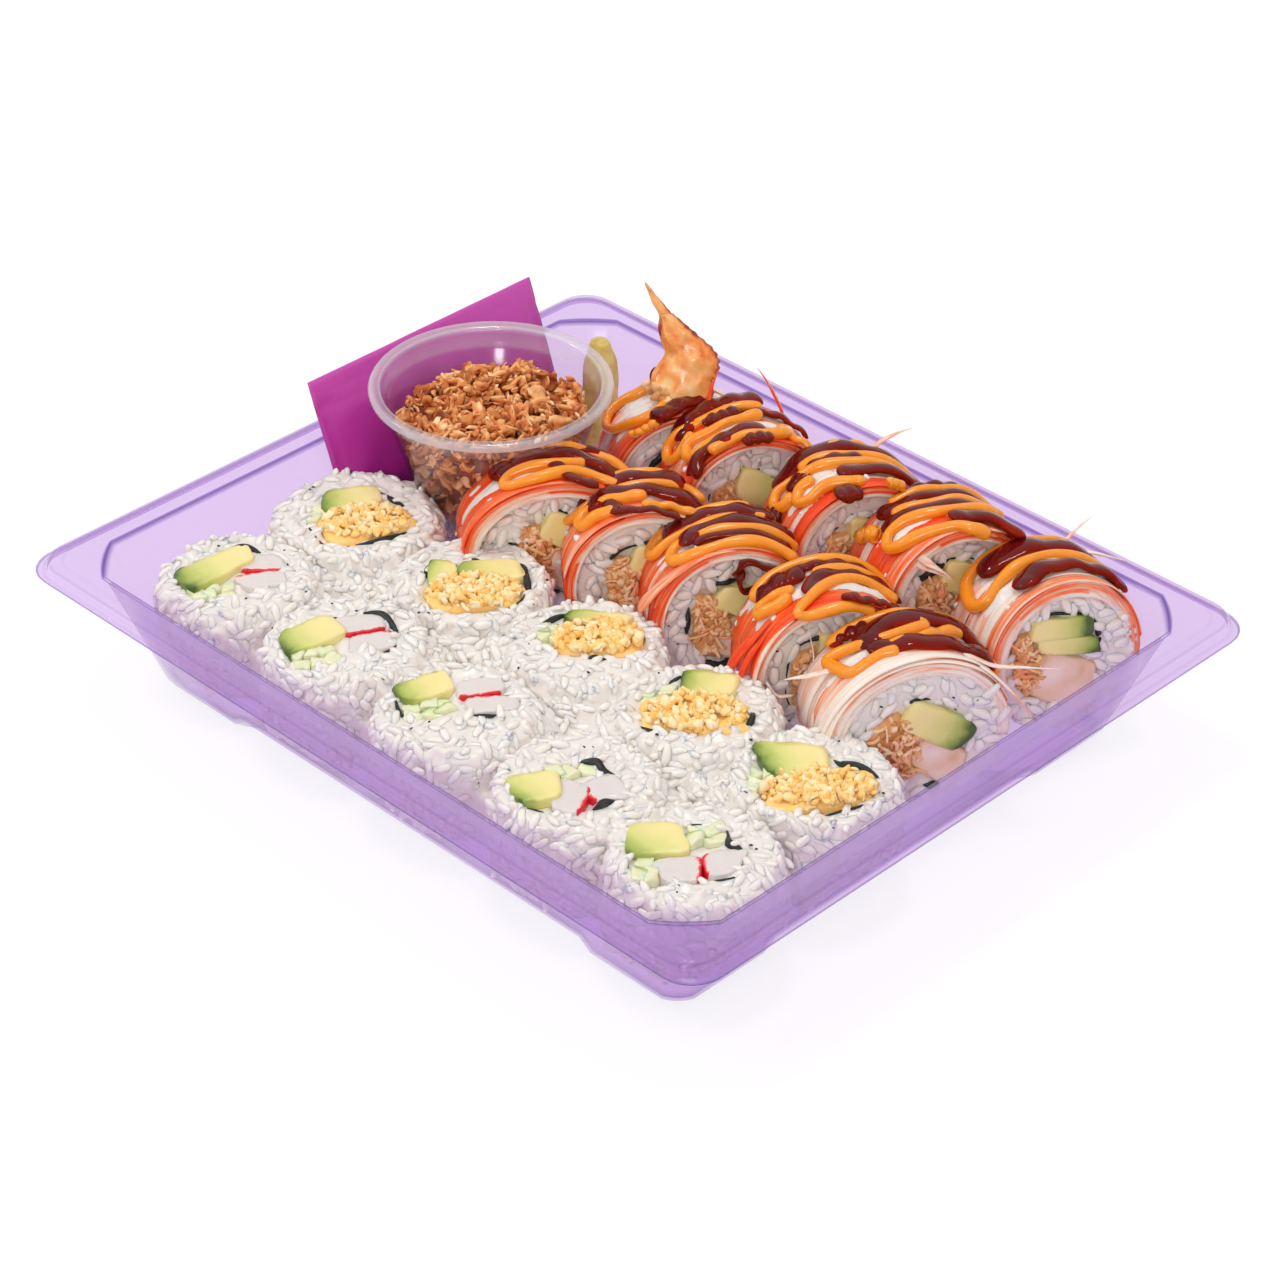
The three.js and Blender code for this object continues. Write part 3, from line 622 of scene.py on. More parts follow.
def tinted_sheet(props):
    """Thermoformed PET, 0.8 mm: clear and glossy, and each layer in front of another deepens
    the tint. Along its folds, where the sheet is seen edge on, painted shade darkens it in fine purple
    lines."""
    material, tree, shader = new_material(
        "thermoformed_pet_sheet", Roughness=0.12, IOR=1.57, Base_Color=(*props.tray_tint, 1))
    # Painted shade: the fold value mixes the tint towards a deep purple along the sheet's folds.
    fold = add_node(tree, "ShaderNodeAttribute", attribute_name="fold").outputs["Fac"]
    tint = add_node(tree, "ShaderNodeMix", {0: fold, 6: (*props.tray_tint, 1), 7: colour("#8A62BE")},
                    data_type="RGBA").outputs[2]
    haze = add_node(tree, "ShaderNodeTexNoise", {"Scale": per_metre(16.7), "Detail": 3.0}).outputs["Fac"]
    bump = dress(tree, shader, haze, 0.08, 0.4)
    clear = add_node(tree, "ShaderNodeBsdfTransparent", {"Color": tint}).outputs[0]
    gloss = surface_gloss(tree, 1.5, Normal=bump)
    share = add_node(tree, "ShaderNodeMath", {0: gloss, 1: 0.05}, operation="ADD").outputs[0]
    both = add_node(tree, "ShaderNodeMixShader", {0: share, 1: clear, 2: shader.outputs[0]})
    tree.links.new(both.outputs[0], tree.nodes["Material Output"].inputs[0])
    return material


def clear_pot(props):
    """Injection moulded polypropylene, 0.9 mm: clear with a faint milky haze."""
    material, tree, shader = new_material(
        "clear_polypropylene", Roughness=0.14, IOR=1.49, Base_Color=(*props.pot_haze, 1))
    milky = add_node(tree, "ShaderNodeAttribute", attribute_name="milky").outputs["Fac"]
    clear = add_node(tree, "ShaderNodeBsdfTransparent", {"Color": colour("#FAF8FA")}).outputs[0]
    wall = add_node(tree, "ShaderNodeMixShader", {0: milky, 1: clear, 2: shader.outputs[0]}).outputs[0]
    gloss = add_node(tree, "ShaderNodeBsdfAnisotropic", {"Roughness": 0.12}).outputs[0]
    both = add_node(tree, "ShaderNodeMixShader", {0: surface_gloss(tree, 1.45), 1: wall, 2: gloss})
    tree.links.new(both.outputs[0], tree.nodes["Material Output"].inputs[0])
    return material


def cooked_rice():
    """Sticky short grain rice: soft white and moist, and light goes some way into it."""
    material, tree, shader = new_material(
        "cooked_sushi_rice", Roughness=0.3, IOR=1.42, Subsurface_Weight=0.8, Subsurface_Scale=0.001,
        Subsurface_Radius=(1.0, 0.88, 0.7), Coat_Weight=0.12, Coat_Roughness=0.15)
    cloud = add_node(tree, "ShaderNodeTexNoise", {"Scale": per_metre(4.17), "Detail": 2.0}).outputs["Fac"]
    starch = add_node(tree, "ShaderNodeTexNoise", {"Scale": per_metre(1.43), "Detail": 2.0}).outputs["Fac"]
    # Painted shade: the fused skin keeps no tone and reads 0, so it comes out darker than the loose grains,
    # whose tones also differ at random.
    dress(tree, shader, starch, 0.1, 0.3, kept_level(tree, "tone", cloud, 0.5, 0.0),
          [(0.1, "#E6DFD7"), (0.45, "#EDE6DF"), (0.8, "#F1EBE5")])
    return material


def roasted_seaweed():
    """Nori, a pressed sheet of seaweed: near black green, slightly shiny, with a fibrous grain."""
    return grained_food(
        "roasted_seaweed", None, [(0.3, "#0E1210"), (0.7, "#28302A")], 0.714, 0, 0.5, 0.3, detail=4.0,
        Roughness=0.42, IOR=1.45)


def avocado_flesh():
    """Ripe avocado: buttery yellow by the stone and green under the skin, with a soft sheen."""
    stops = [(0.0, "#F6E3A0"), (0.42, "#EDE094"), (0.68, "#D6D57E"), (0.86, "#A9B656"), (0.96, "#748A38"),
             (1.0, "#4C6424")]
    return grained_food("avocado_flesh", "shade", stops, 4.55, 0.22, 0.3, 0.4, Roughness=0.38, IOR=1.46,
                        Subsurface_Weight=0.15, Subsurface_Scale=0.001)


def crab_stick():
    """Surimi: springy white fish paste in fine layers, with a bright red skin on one side."""
    stops = [(0.0, "#DED5D0"), (0.55, "#E2D3CE"), (0.72, "#EE9290"), (0.86, "#E8343C"), (1.0, "#D92430")]
    return grained_food("crab_stick", "skin", stops, 1.43, 0.9, 0.3, 0.3, Roughness=0.34, IOR=1.4,
                        Subsurface_Weight=0.25, Subsurface_Scale=0.0015)


def cucumber_flesh():
    """Cut cucumber: wet, pale and glassy green, darker towards its skin."""
    material, tree, shader = new_material(
        "cucumber_flesh", Roughness=0.22, IOR=1.36, Subsurface_Weight=0.4, Subsurface_Scale=0.002)
    cells = add_node(tree, "ShaderNodeTexVoronoi", {"Scale": per_metre(2.38)}).outputs["Distance"]
    dress(tree, shader, cells, 0.3, 0.3, kept_level(tree, "shade", cells, 0.3, 0.0),
          [(0.0, "#EFECCE"), (0.5, "#E2E3B8"), (0.85, "#BECD82"), (1.0, "#7A9E48")])
    return material


def shredded_food(name, stops, roughness, grain_mm):
    """A dry, crumbly finish for shreds and crumbs, each with a tone of its own, which on the onion
    bits also carries painted highlight and shade.
    """
    return grained_food(name, "tone", stops, grain_mm, 0.5, 0.5, 0.12 * grain_mm, Roughness=roughness,
                        IOR=1.42)


def crab_sheet():
    """Strips of crab stick laid side by side: red orange skin over pale, stringy layers whose
    fibres, about half a millimetre apart, run the way that the strips run."""
    material, tree, shader = new_material(
        "crab_stick_sheet", Roughness=0.36, IOR=1.4, Subsurface_Weight=0.2, Subsurface_Scale=0.0012)
    kept = [add_node(tree, "ShaderNodeAttribute", attribute_name=name).outputs["Fac"]
            for name in ("run", "across", "tone")]
    flow = add_node(tree, "ShaderNodeCombineXYZ", dict(enumerate(kept))).outputs[0]
    fine = add_node(tree, "ShaderNodeMapping", {"Vector": flow, "Scale": (0.09, 0.7, 5.0)}).outputs[0]
    fibre = add_node(tree, "ShaderNodeTexNoise", {
        "Vector": fine, "Scale": 1.0, "Detail": 5.0, "Roughness": 0.65}).outputs["Fac"]
    dress(tree, shader, fibre, 0.5, 0.5, kept_level(tree, "tone", fibre, 1.6, 0.4875), [
        (0.0, "#F03A0A"), (0.3, "#FC561E"), (0.52, "#FA8050"), (0.72, "#F8B292"), (1.0, "#F6E6DA")])
    return material


def spicy_mayonnaise(props):
    """Chilli mayonnaise: a thick, smooth orange emulsion with a soft gloss."""
    material, tree, shader = new_material(
        "spicy_mayonnaise", Roughness=0.27, IOR=1.46, Subsurface_Weight=0.2, Subsurface_Scale=0.001,
        Coat_Weight=0.25, Coat_Roughness=0.15)
    specks = add_node(tree, "ShaderNodeTexNoise", {"Scale": per_metre(2.0), "Detail": 4.0}).outputs["Fac"]
    shade = add_node(tree, "ShaderNodeMix", {0: specks, 6: (*props.mayonnaise, 1), 7: colour("#F08A10")},
                     data_type="RGBA").outputs[2]
    tree.links.new(shade, shader.inputs["Base Color"])
    dress(tree, shader, specks, 0.12, 0.4)
    return material


def sweet_soy_glaze():
    """Thick sweet soy glaze: a dark red brown syrup with a wet gloss, which glows red at its
    thin edges and lets what lies below show through there."""
    material, tree, shader = new_material("sweet_soy_glaze", Roughness=0.06, IOR=1.4)
    pool = add_node(tree, "ShaderNodeTexNoise", {"Scale": per_metre(9.09), "Detail": 1.0}).outputs["Fac"]
    ripple = add_node(tree, "ShaderNodeTexNoise", {"Scale": per_metre(3.03), "Detail": 1.0}).outputs["Fac"]
    level = kept_level(tree, "thin", pool, 0.7)
    dress(tree, shader, ripple, 0.3, 0.4, level, [
        (0.0, "#5E1010"), (0.4, "#7C120A"), (0.75, "#AE2208"), (1.0, "#CC480E")])
    film = add_node(tree, "ShaderNodeBsdfTransparent", {"Color": colour("#D05A2A")}).outputs[0]
    share = add_node(tree, "ShaderNodeMapRange", {0: level, 1: 0.1, 2: 0.9, 3: 0.12, 4: 0.8}).outputs[0]
    both = add_node(tree, "ShaderNodeMixShader", {0: share, 1: shader.outputs[0], 2: film})
    tree.links.new(both.outputs[0], tree.nodes["Material Output"].inputs[0])
    return material


def wasabi_paste():
    """Wasabi that has dried in the air: a dull olive yellow paste."""
    return grained_food("wasabi_paste", None, [(0.3, "#C8AA50"), (0.7, "#E4C878")], 2.86, 0, 0.6, 0.6,
                        detail=5.0, Roughness=0.55, IOR=1.4)


def fried_tail():
    """A fried prawn's tail: a thin crisp shell, pale in the middle of each blade and deep
    orange at its edges, with an oily gloss."""
    stops = [(0.0, "#FFCE8C"), (0.35, "#FCAE5E"), (0.65, "#F08C3A"), (0.85, "#CC6020"), (1.0, "#8E360A")]
    return grained_food("fried_prawn_shell", "edge", stops, 3.85, 1.7, 0.4, 0.5, detail=5.0, Roughness=0.3,
                        IOR=1.5, Subsurface_Weight=0.2, Subsurface_Scale=0.0012, Coat_Weight=0.3,
                        Coat_Roughness=0.15)


def laminate_film():
    """Printed polyester laminate, heat sealed: satin magenta with soft creases."""
    material, tree, shader = new_material("printed_laminate_film", Roughness=0.34, IOR=1.5)
    place_in = add_node(tree, "ShaderNodeTexCoord").outputs["Object"]
    height = add_node(tree, "ShaderNodeSeparateXYZ", {0: place_in}).outputs[2]
    # Darker towards the bottom, where the sachet sits deep in the tray by the pot: painted shade.
    level = add_node(tree, "ShaderNodeMapRange", {0: height, 1: 12 * MM, 2: 58 * MM}).outputs[0]
    crease = add_node(tree, "ShaderNodeTexNoise", {
        "Scale": per_metre(14.3), "Detail": 4.0, "Distortion": 0.6}).outputs["Fac"]
    dress(tree, shader, crease, 0.35, 1.2, level, [
        (0.0, "#7E0C72"), (0.35, "#B02892"), (0.75, "#BE38A2"), (1.0, "#CE4EB2")])
    return material


def studio_floor(props):
    """A matt paper sweep over a light table, so that hardly any shadow shows on it."""
    material, tree, shader = new_material(
        "paper_sweep", Roughness=0.9, Base_Color=(*props.floor_colour, 1), Emission_Color=colour("#FFFFFF"),
        Emission_Strength=0.75)
    fibre = add_node(tree, "ShaderNodeTexNoise", {"Scale": per_metre(3.33), "Detail": 2.0}).outputs["Fac"]
    dress(tree, shader, fibre, 0.02, 0.2)
    return material


# ------------------------------------------------------------------ tray and pot


def tray_ring(size, z, rounding, lift=0.0, steps=6):
    """Points of a rectangle with cut or rounded corners, raised by lift between the feet."""
    half_x, half_y, cut = size
    points = []
    for corner in range(4):
        sx = 1 if corner in (0, 3) else -1
        sy = 1 if corner < 2 else -1
        along_x = corner % 2 == 1
        for i in range(steps + 1):
            t = 1 - i / steps if along_x else i / steps
            angle = t * math.pi / 2
            px = half_x - cut + cut * ((1 - rounding) * (1 - t) + rounding * math.cos(angle))
            py = half_y - cut + cut * ((1 - rounding) * t + rounding * math.sin(angle))
            points.append(Vector((sx * px, sy * py, z)))
        half, far = (half_y, half_x) if along_x else (half_x, half_y)
        way = 1 if corner < 2 else -1
        stop = half - FOOT_LENGTH
        for place_on, up in ((stop, 0), (stop - 4, lift), (4 - stop, lift), (-stop, 0)):
            if along_x:
                points.append(Vector((-way * far, way * place_on, z + up)))
            else:
                points.append(Vector((way * place_on, way * far, z + up)))
    return points


def grown(size, out):
    """A ring's half sizes, moved outwards."""
    return (size[0] + out, size[1] + out, max(size[2] + 0.3 * out, 2))


def wall_size(z, out=0.0):
    """The tray wall's half sizes at a height."""
    t = z / TRAY_RIM
    return grown([b + (o - b) * t for b, o in zip(TRAY_BASE, TRAY_OPEN)], out)


def make_tray(props):
    """The tray's sheet, pulled up ring by ring from its floor panel, then given its wall."""
    drop = TRAY_RIM - LIP_DROP
    # Half sizes, height, how round the corners are, lift between the feet, and how much painted shade
    # darkens the tint at a fold.
    rings = [
        (grown(TRAY_BASE, -13), FLOOR_TOP, 0.6, 0, 0),
        (grown(TRAY_BASE, -12), 3.6, 0.6, 0.9, 0.5),
        (grown(TRAY_BASE, -10.6), TRAY_WALL, 0.6, FLOOR_UNDER, 0),
        (grown(TRAY_BASE, -4.4), TRAY_WALL, 0.6, FLOOR_UNDER, 0),
        (wall_size(2.2, -1.6), 2.2, 0.5, 3.4, 0.5),
        (wall_size(4.4, -TRAY_WALL), 4.4, 0.4, 2.4, 0),
        (wall_size(9, -TRAY_WALL), 9, 0.3, 0.8, 0),
        (wall_size(22, -0.6), 22, 0.2, 0, 0),
        (wall_size(38.6, -0.3), 38.6, 0.15, 0, 0.02),
        (TRAY_OPEN, 39.6, 0.15, 0, 0.55),
        (grown(TRAY_OPEN, 0.35), TRAY_RIM, 0.2, 0, 1),
        (grown(TRAY_OPEN, 1.0), TRAY_RIM, 0.3, 0, 0.06),
        (grown(TRAY_FLANGE, -3.4), TRAY_RIM, 0.8, 0, 0.06),
        (grown(TRAY_FLANGE, -3.0), TRAY_RIM + 0.15, 0.9, 0, 0.12),
        (grown(TRAY_FLANGE, -2.6), TRAY_RIM, 0.9, 0, 0.06),
        (grown(TRAY_FLANGE, -0.6), TRAY_RIM, 1, 0, 0.06),
        (grown(TRAY_FLANGE, 0.1), TRAY_RIM - 0.5, 1, 0, 0.16),
        (grown(TRAY_FLANGE, 0.3), TRAY_RIM - 1.4, 1, 0, 0),
        (grown(TRAY_FLANGE, 0.8), TRAY_RIM - 1.7, 1, 0, 0.06),
        (grown(TRAY_FLANGE, 0.7), drop + 0.4, 1, 0, 0),
        (grown(TRAY_FLANGE, 1.1), drop, 1, 0, 0.1),
        (grown(TRAY_LIP, -0.5), drop, 1, 0, 0),
        (TRAY_LIP, drop - 0.3, 1, 0, 0.6),
    ]
    bm = bmesh.new()
    fold = bm.verts.layers.float.new("fold")
    ring = []
    for level, (size, z, rounding, lift, crease) in enumerate(rings):
        points = tray_ring(size, z, rounding, lift)
        if level == 0:
            ring = [bm.verts.new(p) for p in points]
            bm.faces.new(ring)
        else:
            edges = [bm.edges.get((a, b)) for a, b in zip(ring, ring[1:] + ring[:1])]
            made = bmesh.ops.extrude_edge_only(bm, edges=edges)["geom"]
            copies = {tuple(v.co): v for v in made if isinstance(v, bmesh.types.BMVert)}
            ring = [copies[tuple(v.co)] for v in ring]
            for vert, point in zip(ring, points):
                vert.co = point
        # Painted shade: the fold value darkens the sheet's tint along the folds.
        for vert in ring:
            vert[fold] = crease
    bmesh.ops.recalc_face_normals(bm, faces=bm.faces)
    if max(bm.faces, key=lambda f: f.calc_area()).normal.z < 0:
        bmesh.ops.reverse_faces(bm, faces=bm.faces)
    tray = from_bmesh("tray_sheet", bm)
    wall = tray.modifiers.new("wall", "SOLIDIFY")
    wall.thickness = TRAY_WALL * MM
    wall.offset = -1
    place(tray, tinted_sheet(props), "tray_plastic", "tray")


def make_pot(props):
    """The pot: its wall's section turned once round."""
    foot, rim, ledge = POT_FOOT, POT_RIM, POT_RIM - POT_LIP
    base, neck, edge = POT_BASE_RADIUS, POT_NECK_RADIUS, POT_RIM_RADIUS
    inside = neck - POT_WALL
    # Radius, height and milkiness, from under the foot round the rim to the inside of the foot.
    section = [
        (0.0, foot + 0.9, 0.011), (base - 2.6, foot + 0.7, 0.011), (base - 1.6, foot, 0.055),
        (base - 0.5, foot, 0.066), (base, foot + 0.6, 0.028), (neck - 1.3, ledge - 4.4, 0.017),
        (neck - 0.4, ledge - 3.6, 0.16), (neck, ledge, 0.088), (edge - 0.6, ledge, 0.3),
        (edge, ledge + 0.5, 0.4), (edge, rim - 0.7, 0.36), (edge - 0.7, rim, 0.36),
        (edge - 1.6, rim - 0.1, 0.25), (neck + 0.6, rim - 0.5, 0.14), (neck - 0.2, rim - 0.3, 0.34),
        (inside, rim - 1.2, 0.055), (inside - 0.3, ledge - 3.4, 0.088), (inside - 1.2, ledge - 4.4, 0.017),
        (base - POT_WALL, foot + 1.4, 0.017), (base - 2.4, foot + 1.7, 0.011), (0.0, foot + 1.8, 0.011),
    ]
    bm = bmesh.new()
    milky = bm.verts.layers.float.new("milky")
    verts = []
    for radius, z, haze in section:
        vert = bm.verts.new((POT_MIDDLE[0] + radius, POT_MIDDLE[1], z))
        vert[milky] = haze
        verts.append(vert)
    edges = [bm.edges.new(pair) for pair in zip(verts, verts[1:])]
    bmesh.ops.spin(bm, geom=verts + edges, cent=(*POT_MIDDLE, 0), axis=(0, 0, 1), dvec=(0, 0, 0),
                   angle=2 * math.pi, steps=72, use_merge=True, use_duplicate=False)
    bmesh.ops.remove_doubles(bm, verts=bm.verts, dist=0.01)
    bmesh.ops.recalc_face_normals(bm, faces=bm.faces)
    pot = from_bmesh("onion_pot_wall", bm)
    place(pot, clear_pot(props), "pot_plastic", "onion_pot")


def pot_radius(z):
    """The inside radius of the pot at a height."""
    slope = (POT_NECK_RADIUS - POT_BASE_RADIUS) / (POT_RIM - POT_LIP - POT_FOOT)
    return POT_BASE_RADIUS + slope * (z - POT_FOOT) - POT_WALL


def round_pot(radius, angle, z):
    """Places at some distances and angles from the pot's middle line."""
    x, y = POT_MIDDLE
    return np.stack([x + radius * np.cos(angle), y + radius * np.sin(angle), z], axis=1)


def random_turns(rng, count, tilt=math.pi):
    """Turning matrices: any turn about Z, after a tilt of up to the given angle."""
    about = rng.uniform(0, 2 * math.pi, count)
    lean = rng.uniform(-tilt, tilt, count)
    roll = rng.uniform(-tilt, tilt, count)
    turns = [Matrix.Rotation(a, 3, "Z") @ Matrix.Rotation(b, 3, "X") @ Matrix.Rotation(c, 3, "Y")
             for a, b, c in zip(about, lean, roll)]
    return np.array([[row[:] for row in m] for m in turns])


def make_onions(props):
    """Crispy fried onions: curled, knobbly bits heaped in the pot round a rough core."""
    rng = np.random.default_rng(12)
    heap = Heap("tone")
    core = block_shape((14, 14, 10))
    a, b, c = core.points.T
    radius = np.maximum(np.abs(a), np.abs(b))
    angle = np.arctan2(b, a)
    z = POT_FOOT + 3.4 + (c + 1) / 2 * (ONION_LEVEL - POT_FOOT - 5)
    reach = radius * (pot_radius(z) - 2.6)
    points = round_pot(reach, angle, z)
    points[:, 2] += (c > 0.99) * 2.2 * (1 - radius ** 2)
    points += waves(points, 6, 3)[:, None] * np.array([0.7, 0.7, 0.9])
    # The core takes the darkest tone: painted shade in the gaps between the bits.
    heap.add(core, points, tone=0.0)

    bit = crumb_shape()
    count = props.onion_bits
    share = rng.uniform(0, 1, count)
    on_top = share < 0.5
    top_radius = (pot_radius(ONION_LEVEL) - 2.6) * np.sqrt(rng.uniform(0, 1, count))
    side_z = POT_FOOT + 3 + (ONION_LEVEL - POT_FOOT - 3) * rng.uniform(0, 1, count)
    angle = rng.uniform(0, 2 * math.pi, count)
    lift = 3.6 * (1 - (top_radius / pot_radius(ONION_LEVEL)) ** 2) + 0.06 * top_radius * (
        np.cos(angle) + np.sin(angle))
    radius = np.where(on_top, top_radius, pot_radius(side_z) - 2.1)
    height = np.where(on_top, ONION_LEVEL + lift + rng.uniform(-1.6, 2.2, count), side_z)
    middle = round_pot(radius, angle, height)
    length = 1.2 + 2.6 * rng.uniform(0, 1, count) ** 2
    width, thickness = length * rng.uniform(0.35, 0.7, count), length * rng.uniform(0.14, 0.4, count)
    shape = bit.points[None] * np.stack([length, width, thickness], axis=1)[:, None]
    bend = rng.uniform(-0.4, 0.5, count)[:, None]
    shape[..., 2] -= bend * shape[..., 0] ** 2 * 0.6
    seat = bit.points[None] + rng.uniform(0, 50, (count, 1, 3))
    knobs = waves(seat, 0.9, 8)
    shape *= 1 + 0.3 * knobs[..., None]
    uneven = np.stack([waves(seat, 1.3, seed) for seed in (41, 42, 43)], axis=-1)
    shape += uneven * 0.1 * length[:, None, None]
    shape = np.einsum("nij,nkj->nki", random_turns(rng, count, 1.5), shape) + middle[:, None]
    inside = np.hypot(shape[..., 0] - POT_MIDDLE[0], shape[..., 1] - POT_MIDDLE[1])
    room = pot_radius(np.minimum(shape[..., 2], POT_RIM - 3)) - 0.05
    limit = np.minimum(1, room / np.maximum(inside, 1e-6))
    for axis in (0, 1):
        shape[..., axis] = POT_MIDDLE[axis] + (shape[..., axis] - POT_MIDDLE[axis]) * limit
    shape[..., 2] = np.maximum(shape[..., 2], POT_FOOT + 1.9)
    # Tone differs at random from bit to bit, and rises on the knobs and falls in the dents: painted
    # highlight and painted shade.
    tone = rng.uniform(0.15, 0.8, count)[:, None] + 0.35 * knobs
    heap.add(bit, shape, tone=tone)
    onions = heap.build("fried_onion_bits")
    crisp = shredded_food("fried_onion_crisp", [
        (0.0, "#86380E"), (0.25, "#C46A2C"), (0.55, "#EC9C58"), (0.85, "#FBC388"), (1.0, "#FFDCAC")],
        0.42, 1.8)
    place(onions, crisp, "fried_onion", "fried_onions")


# ------------------------------------------------------------------ sachet, wasabi, tail


def make_sachet(props):
    """The shut sachet: a flat pillow with sealed edges that leans on the end wall."""
    shape = block_shape((1, 60, 34))
    side, u, v = shape.points.T
    u, v = (u + 1) / 2, (v + 1) / 2
    y0, y1 = SACHET_SIDES
    z0, z1 = SACHET_HEIGHTS
    z = z0 + (z1 - z0) * v
    y = y0 + (y1 - y0) * u
    slope = (TRAY_OPEN[0] - TRAY_BASE[0]) / TRAY_RIM
    middle = -(TRAY_BASE[0] + slope * z - TRAY_WALL) + 2.7
    seal_u = np.clip(np.minimum(u, 1 - u) * (y1 - y0) / SACHET_SEAL - 0.6, 0, 1)
    seal_v = np.clip(np.minimum(v, 1 - v) * (z1 - z0) / SACHET_SEAL - 0.9, 0, 1)
    swell = np.sqrt(seal_u * seal_v)
    flat = np.stack([middle * 0, y, z], axis=1)
    crimp = 0.10 * np.sin(z * 2 * math.pi / 1.3) * (seal_v <= 0)
    crimp -= 0.5 * np.exp(-((z1 - z - 8) / 0.7) ** 2) * (side > 0)
    creases = (0.5 * waves(flat, 22, 5) + 0.22 * waves(flat, 8, 6)) * (0.35 + 0.65 * swell)
    x = middle + side * (0.28 + 1.35 * swell) + creases * np.where(side > 0, 1, 0.4) + crimp
    heap = Heap()
    heap.add(shape, np.stack([x, y, z], axis=1))
    place(heap.build("sauce_sachet_film"), laminate_film(), "sachet_film", "sauce_sachet")


def make_wasabi(props):
    """A squeezed lump of wasabi in the back corner."""
    shape = block_shape((14, 14, 24))
    direction = unit(shape.points * np.array([1, 1, 0.6]))
    t = (shape.points[:, 2] + 1) / 2
    foot, tip = np.array([-91.4, 78.6, 5.4]), np.array([-98.6, 85.6, 39.5])
    fat = np.interp(t, [0, 0.12, 0.4, 0.65, 0.86, 1], [0.75, 1.0, 0.98, 0.86, 0.76, 0.5]) * 6.5
    flat = np.hypot(direction[:, 0], direction[:, 1])
    points = foot + t[:, None] * (tip - foot) + np.stack([
        direction[:, 0] * fat, direction[:, 1] * fat, direction[:, 2] * 0.8 * (1 - flat)], axis=1)
    points += waves(points, 9, 4)[:, None] * unit(points - (foot + tip) / 2) * 0.45
    heap = Heap()
    heap.add(shape, keep_in_tray(points))
    place(heap.build("wasabi_lump"), wasabi_paste(), "wasabi_paste", "wasabi")


# The tail's axis and flat side, and its edges: share of the way to the tip, then millimetres
# from the axis to the left and to the right edge.
TAIL_ROOT, TAIL_TIP = np.array([-50.2, 69.8, 50.8]), np.array([-65.0, 70.5, 78.7])
TAIL_WIDE = unit(np.array([0.72, 0.69, 0.1]))
TAIL_FLAT = unit(np.cross(TAIL_TIP - TAIL_ROOT, TAIL_WIDE))
TAIL_EDGES = [
    (-0.1, -7.5, 6.0), (0.03, -8.0, 6.7), (0.14, -6.7, 9.1), (0.22, -4.4, 10.4), (0.33, -1.0, 10.8),
    (0.43, -1.1, 9.0), (0.57, -0.6, 6.6), (0.68, 0.8, 4.7), (0.79, 0.2, 3.2), (0.9, -0.1, 1.5),
    (1, -0.3, 0.3)]


def tail_place(t, across, out):
    """A place on the tail's long blade: share of the way to the tip, -1 to 1 from its left to
    its right edge, and millimetres in front."""
    edges = smooth_path(TAIL_EDGES, 80)
    left, right = (np.interp(t, edges[:, 0], edges[:, i]) for i in (1, 2))
    middle = (left + right) / 2 + (right - left) / 2 * across
    t, out = np.asarray(t, float), np.asarray(out, float)
    return (TAIL_ROOT + t[..., None] * (TAIL_TIP - TAIL_ROOT) + middle[..., None] * TAIL_WIDE
            + out[..., None] * TAIL_FLAT)


def make_tail(props):
    """The prawn's tail: crisp blades that grow out of the batter, the long one to a hook."""
    heap = Heap("edge")
    shape = tube_shape(44, 24)
    x, y, z = shape.points.T
    for size, turn, thick in ((1.0, 0.0, 1.3), (0.7, -0.3, 1.0)):
        t = (z + 1) / 2 * (size + 0.1) - 0.1
        fat = np.interp(t / size, [0, 0.2, 0.6, 1], [1.8, 1.5, 0.9, 0.25]) * thick
        fringe = 0.05 * np.sin(t * 90) * (x > 0.9)
        ribs = 0.22 * np.sin(x * 11 + t * 5) * (np.abs(y) > 0.2) * np.sign(y)
        out = fat * y * (1 - 0.45 * x ** 2) + ribs + 1.1 * x ** 2 + 9 * turn * (1 - 0.5 * t)
        points = tail_place(t, x * (1 - 0.4 * turn) + fringe - turn, out)
        points += waves(points, 4.5, 9)[:, None] * TAIL_FLAT * 0.5
        streaks = 0.22 * waves(np.stack([x * 6, t * 7, 0 * t], axis=1), 3.2, 14)
        edge = 0.28 + streaks + 0.7 * np.clip(x, 0, 1) ** 3 + 0.4 * (x < -0.8) * (t > 0.5)
        heap.add(shape, points, edge=edge)
    place(heap.build("prawn_tail_blades"), fried_tail(), "fried_prawn", "prawn_tail")


# ------------------------------------------------------------------ rice


def tray_room(z):
    """Half sizes and cut corners of the room inside the tray's sheet at some heights."""
    t = np.clip(z / TRAY_RIM, 0, 1)
    gap = TRAY_WALL + 0.12
    return (TRAY_BASE[0] + (TRAY_OPEN[0] - TRAY_BASE[0]) * t - gap,
            TRAY_BASE[1] + (TRAY_OPEN[1] - TRAY_BASE[1]) * t - gap,
            TRAY_BASE[2] + (TRAY_OPEN[2] - TRAY_BASE[2]) * t)


def keep_in_tray(points):
    """Press points that would reach through the tray's sheet flat against its inside."""
    x, y, z = points[..., 0], points[..., 1], np.maximum(points[..., 2], FLOOR_TOP + 0.1)
    half_x, half_y, cut = tray_room(z)
    x, y = np.clip(x, -half_x, half_x), np.clip(y, -half_y, half_y)
    over = np.maximum(np.abs(x) + np.abs(y) - (half_x + half_y - cut), 0) / 2
    return np.stack([x - np.sign(x) * over, y - np.sign(y) * over, z], axis=-1)


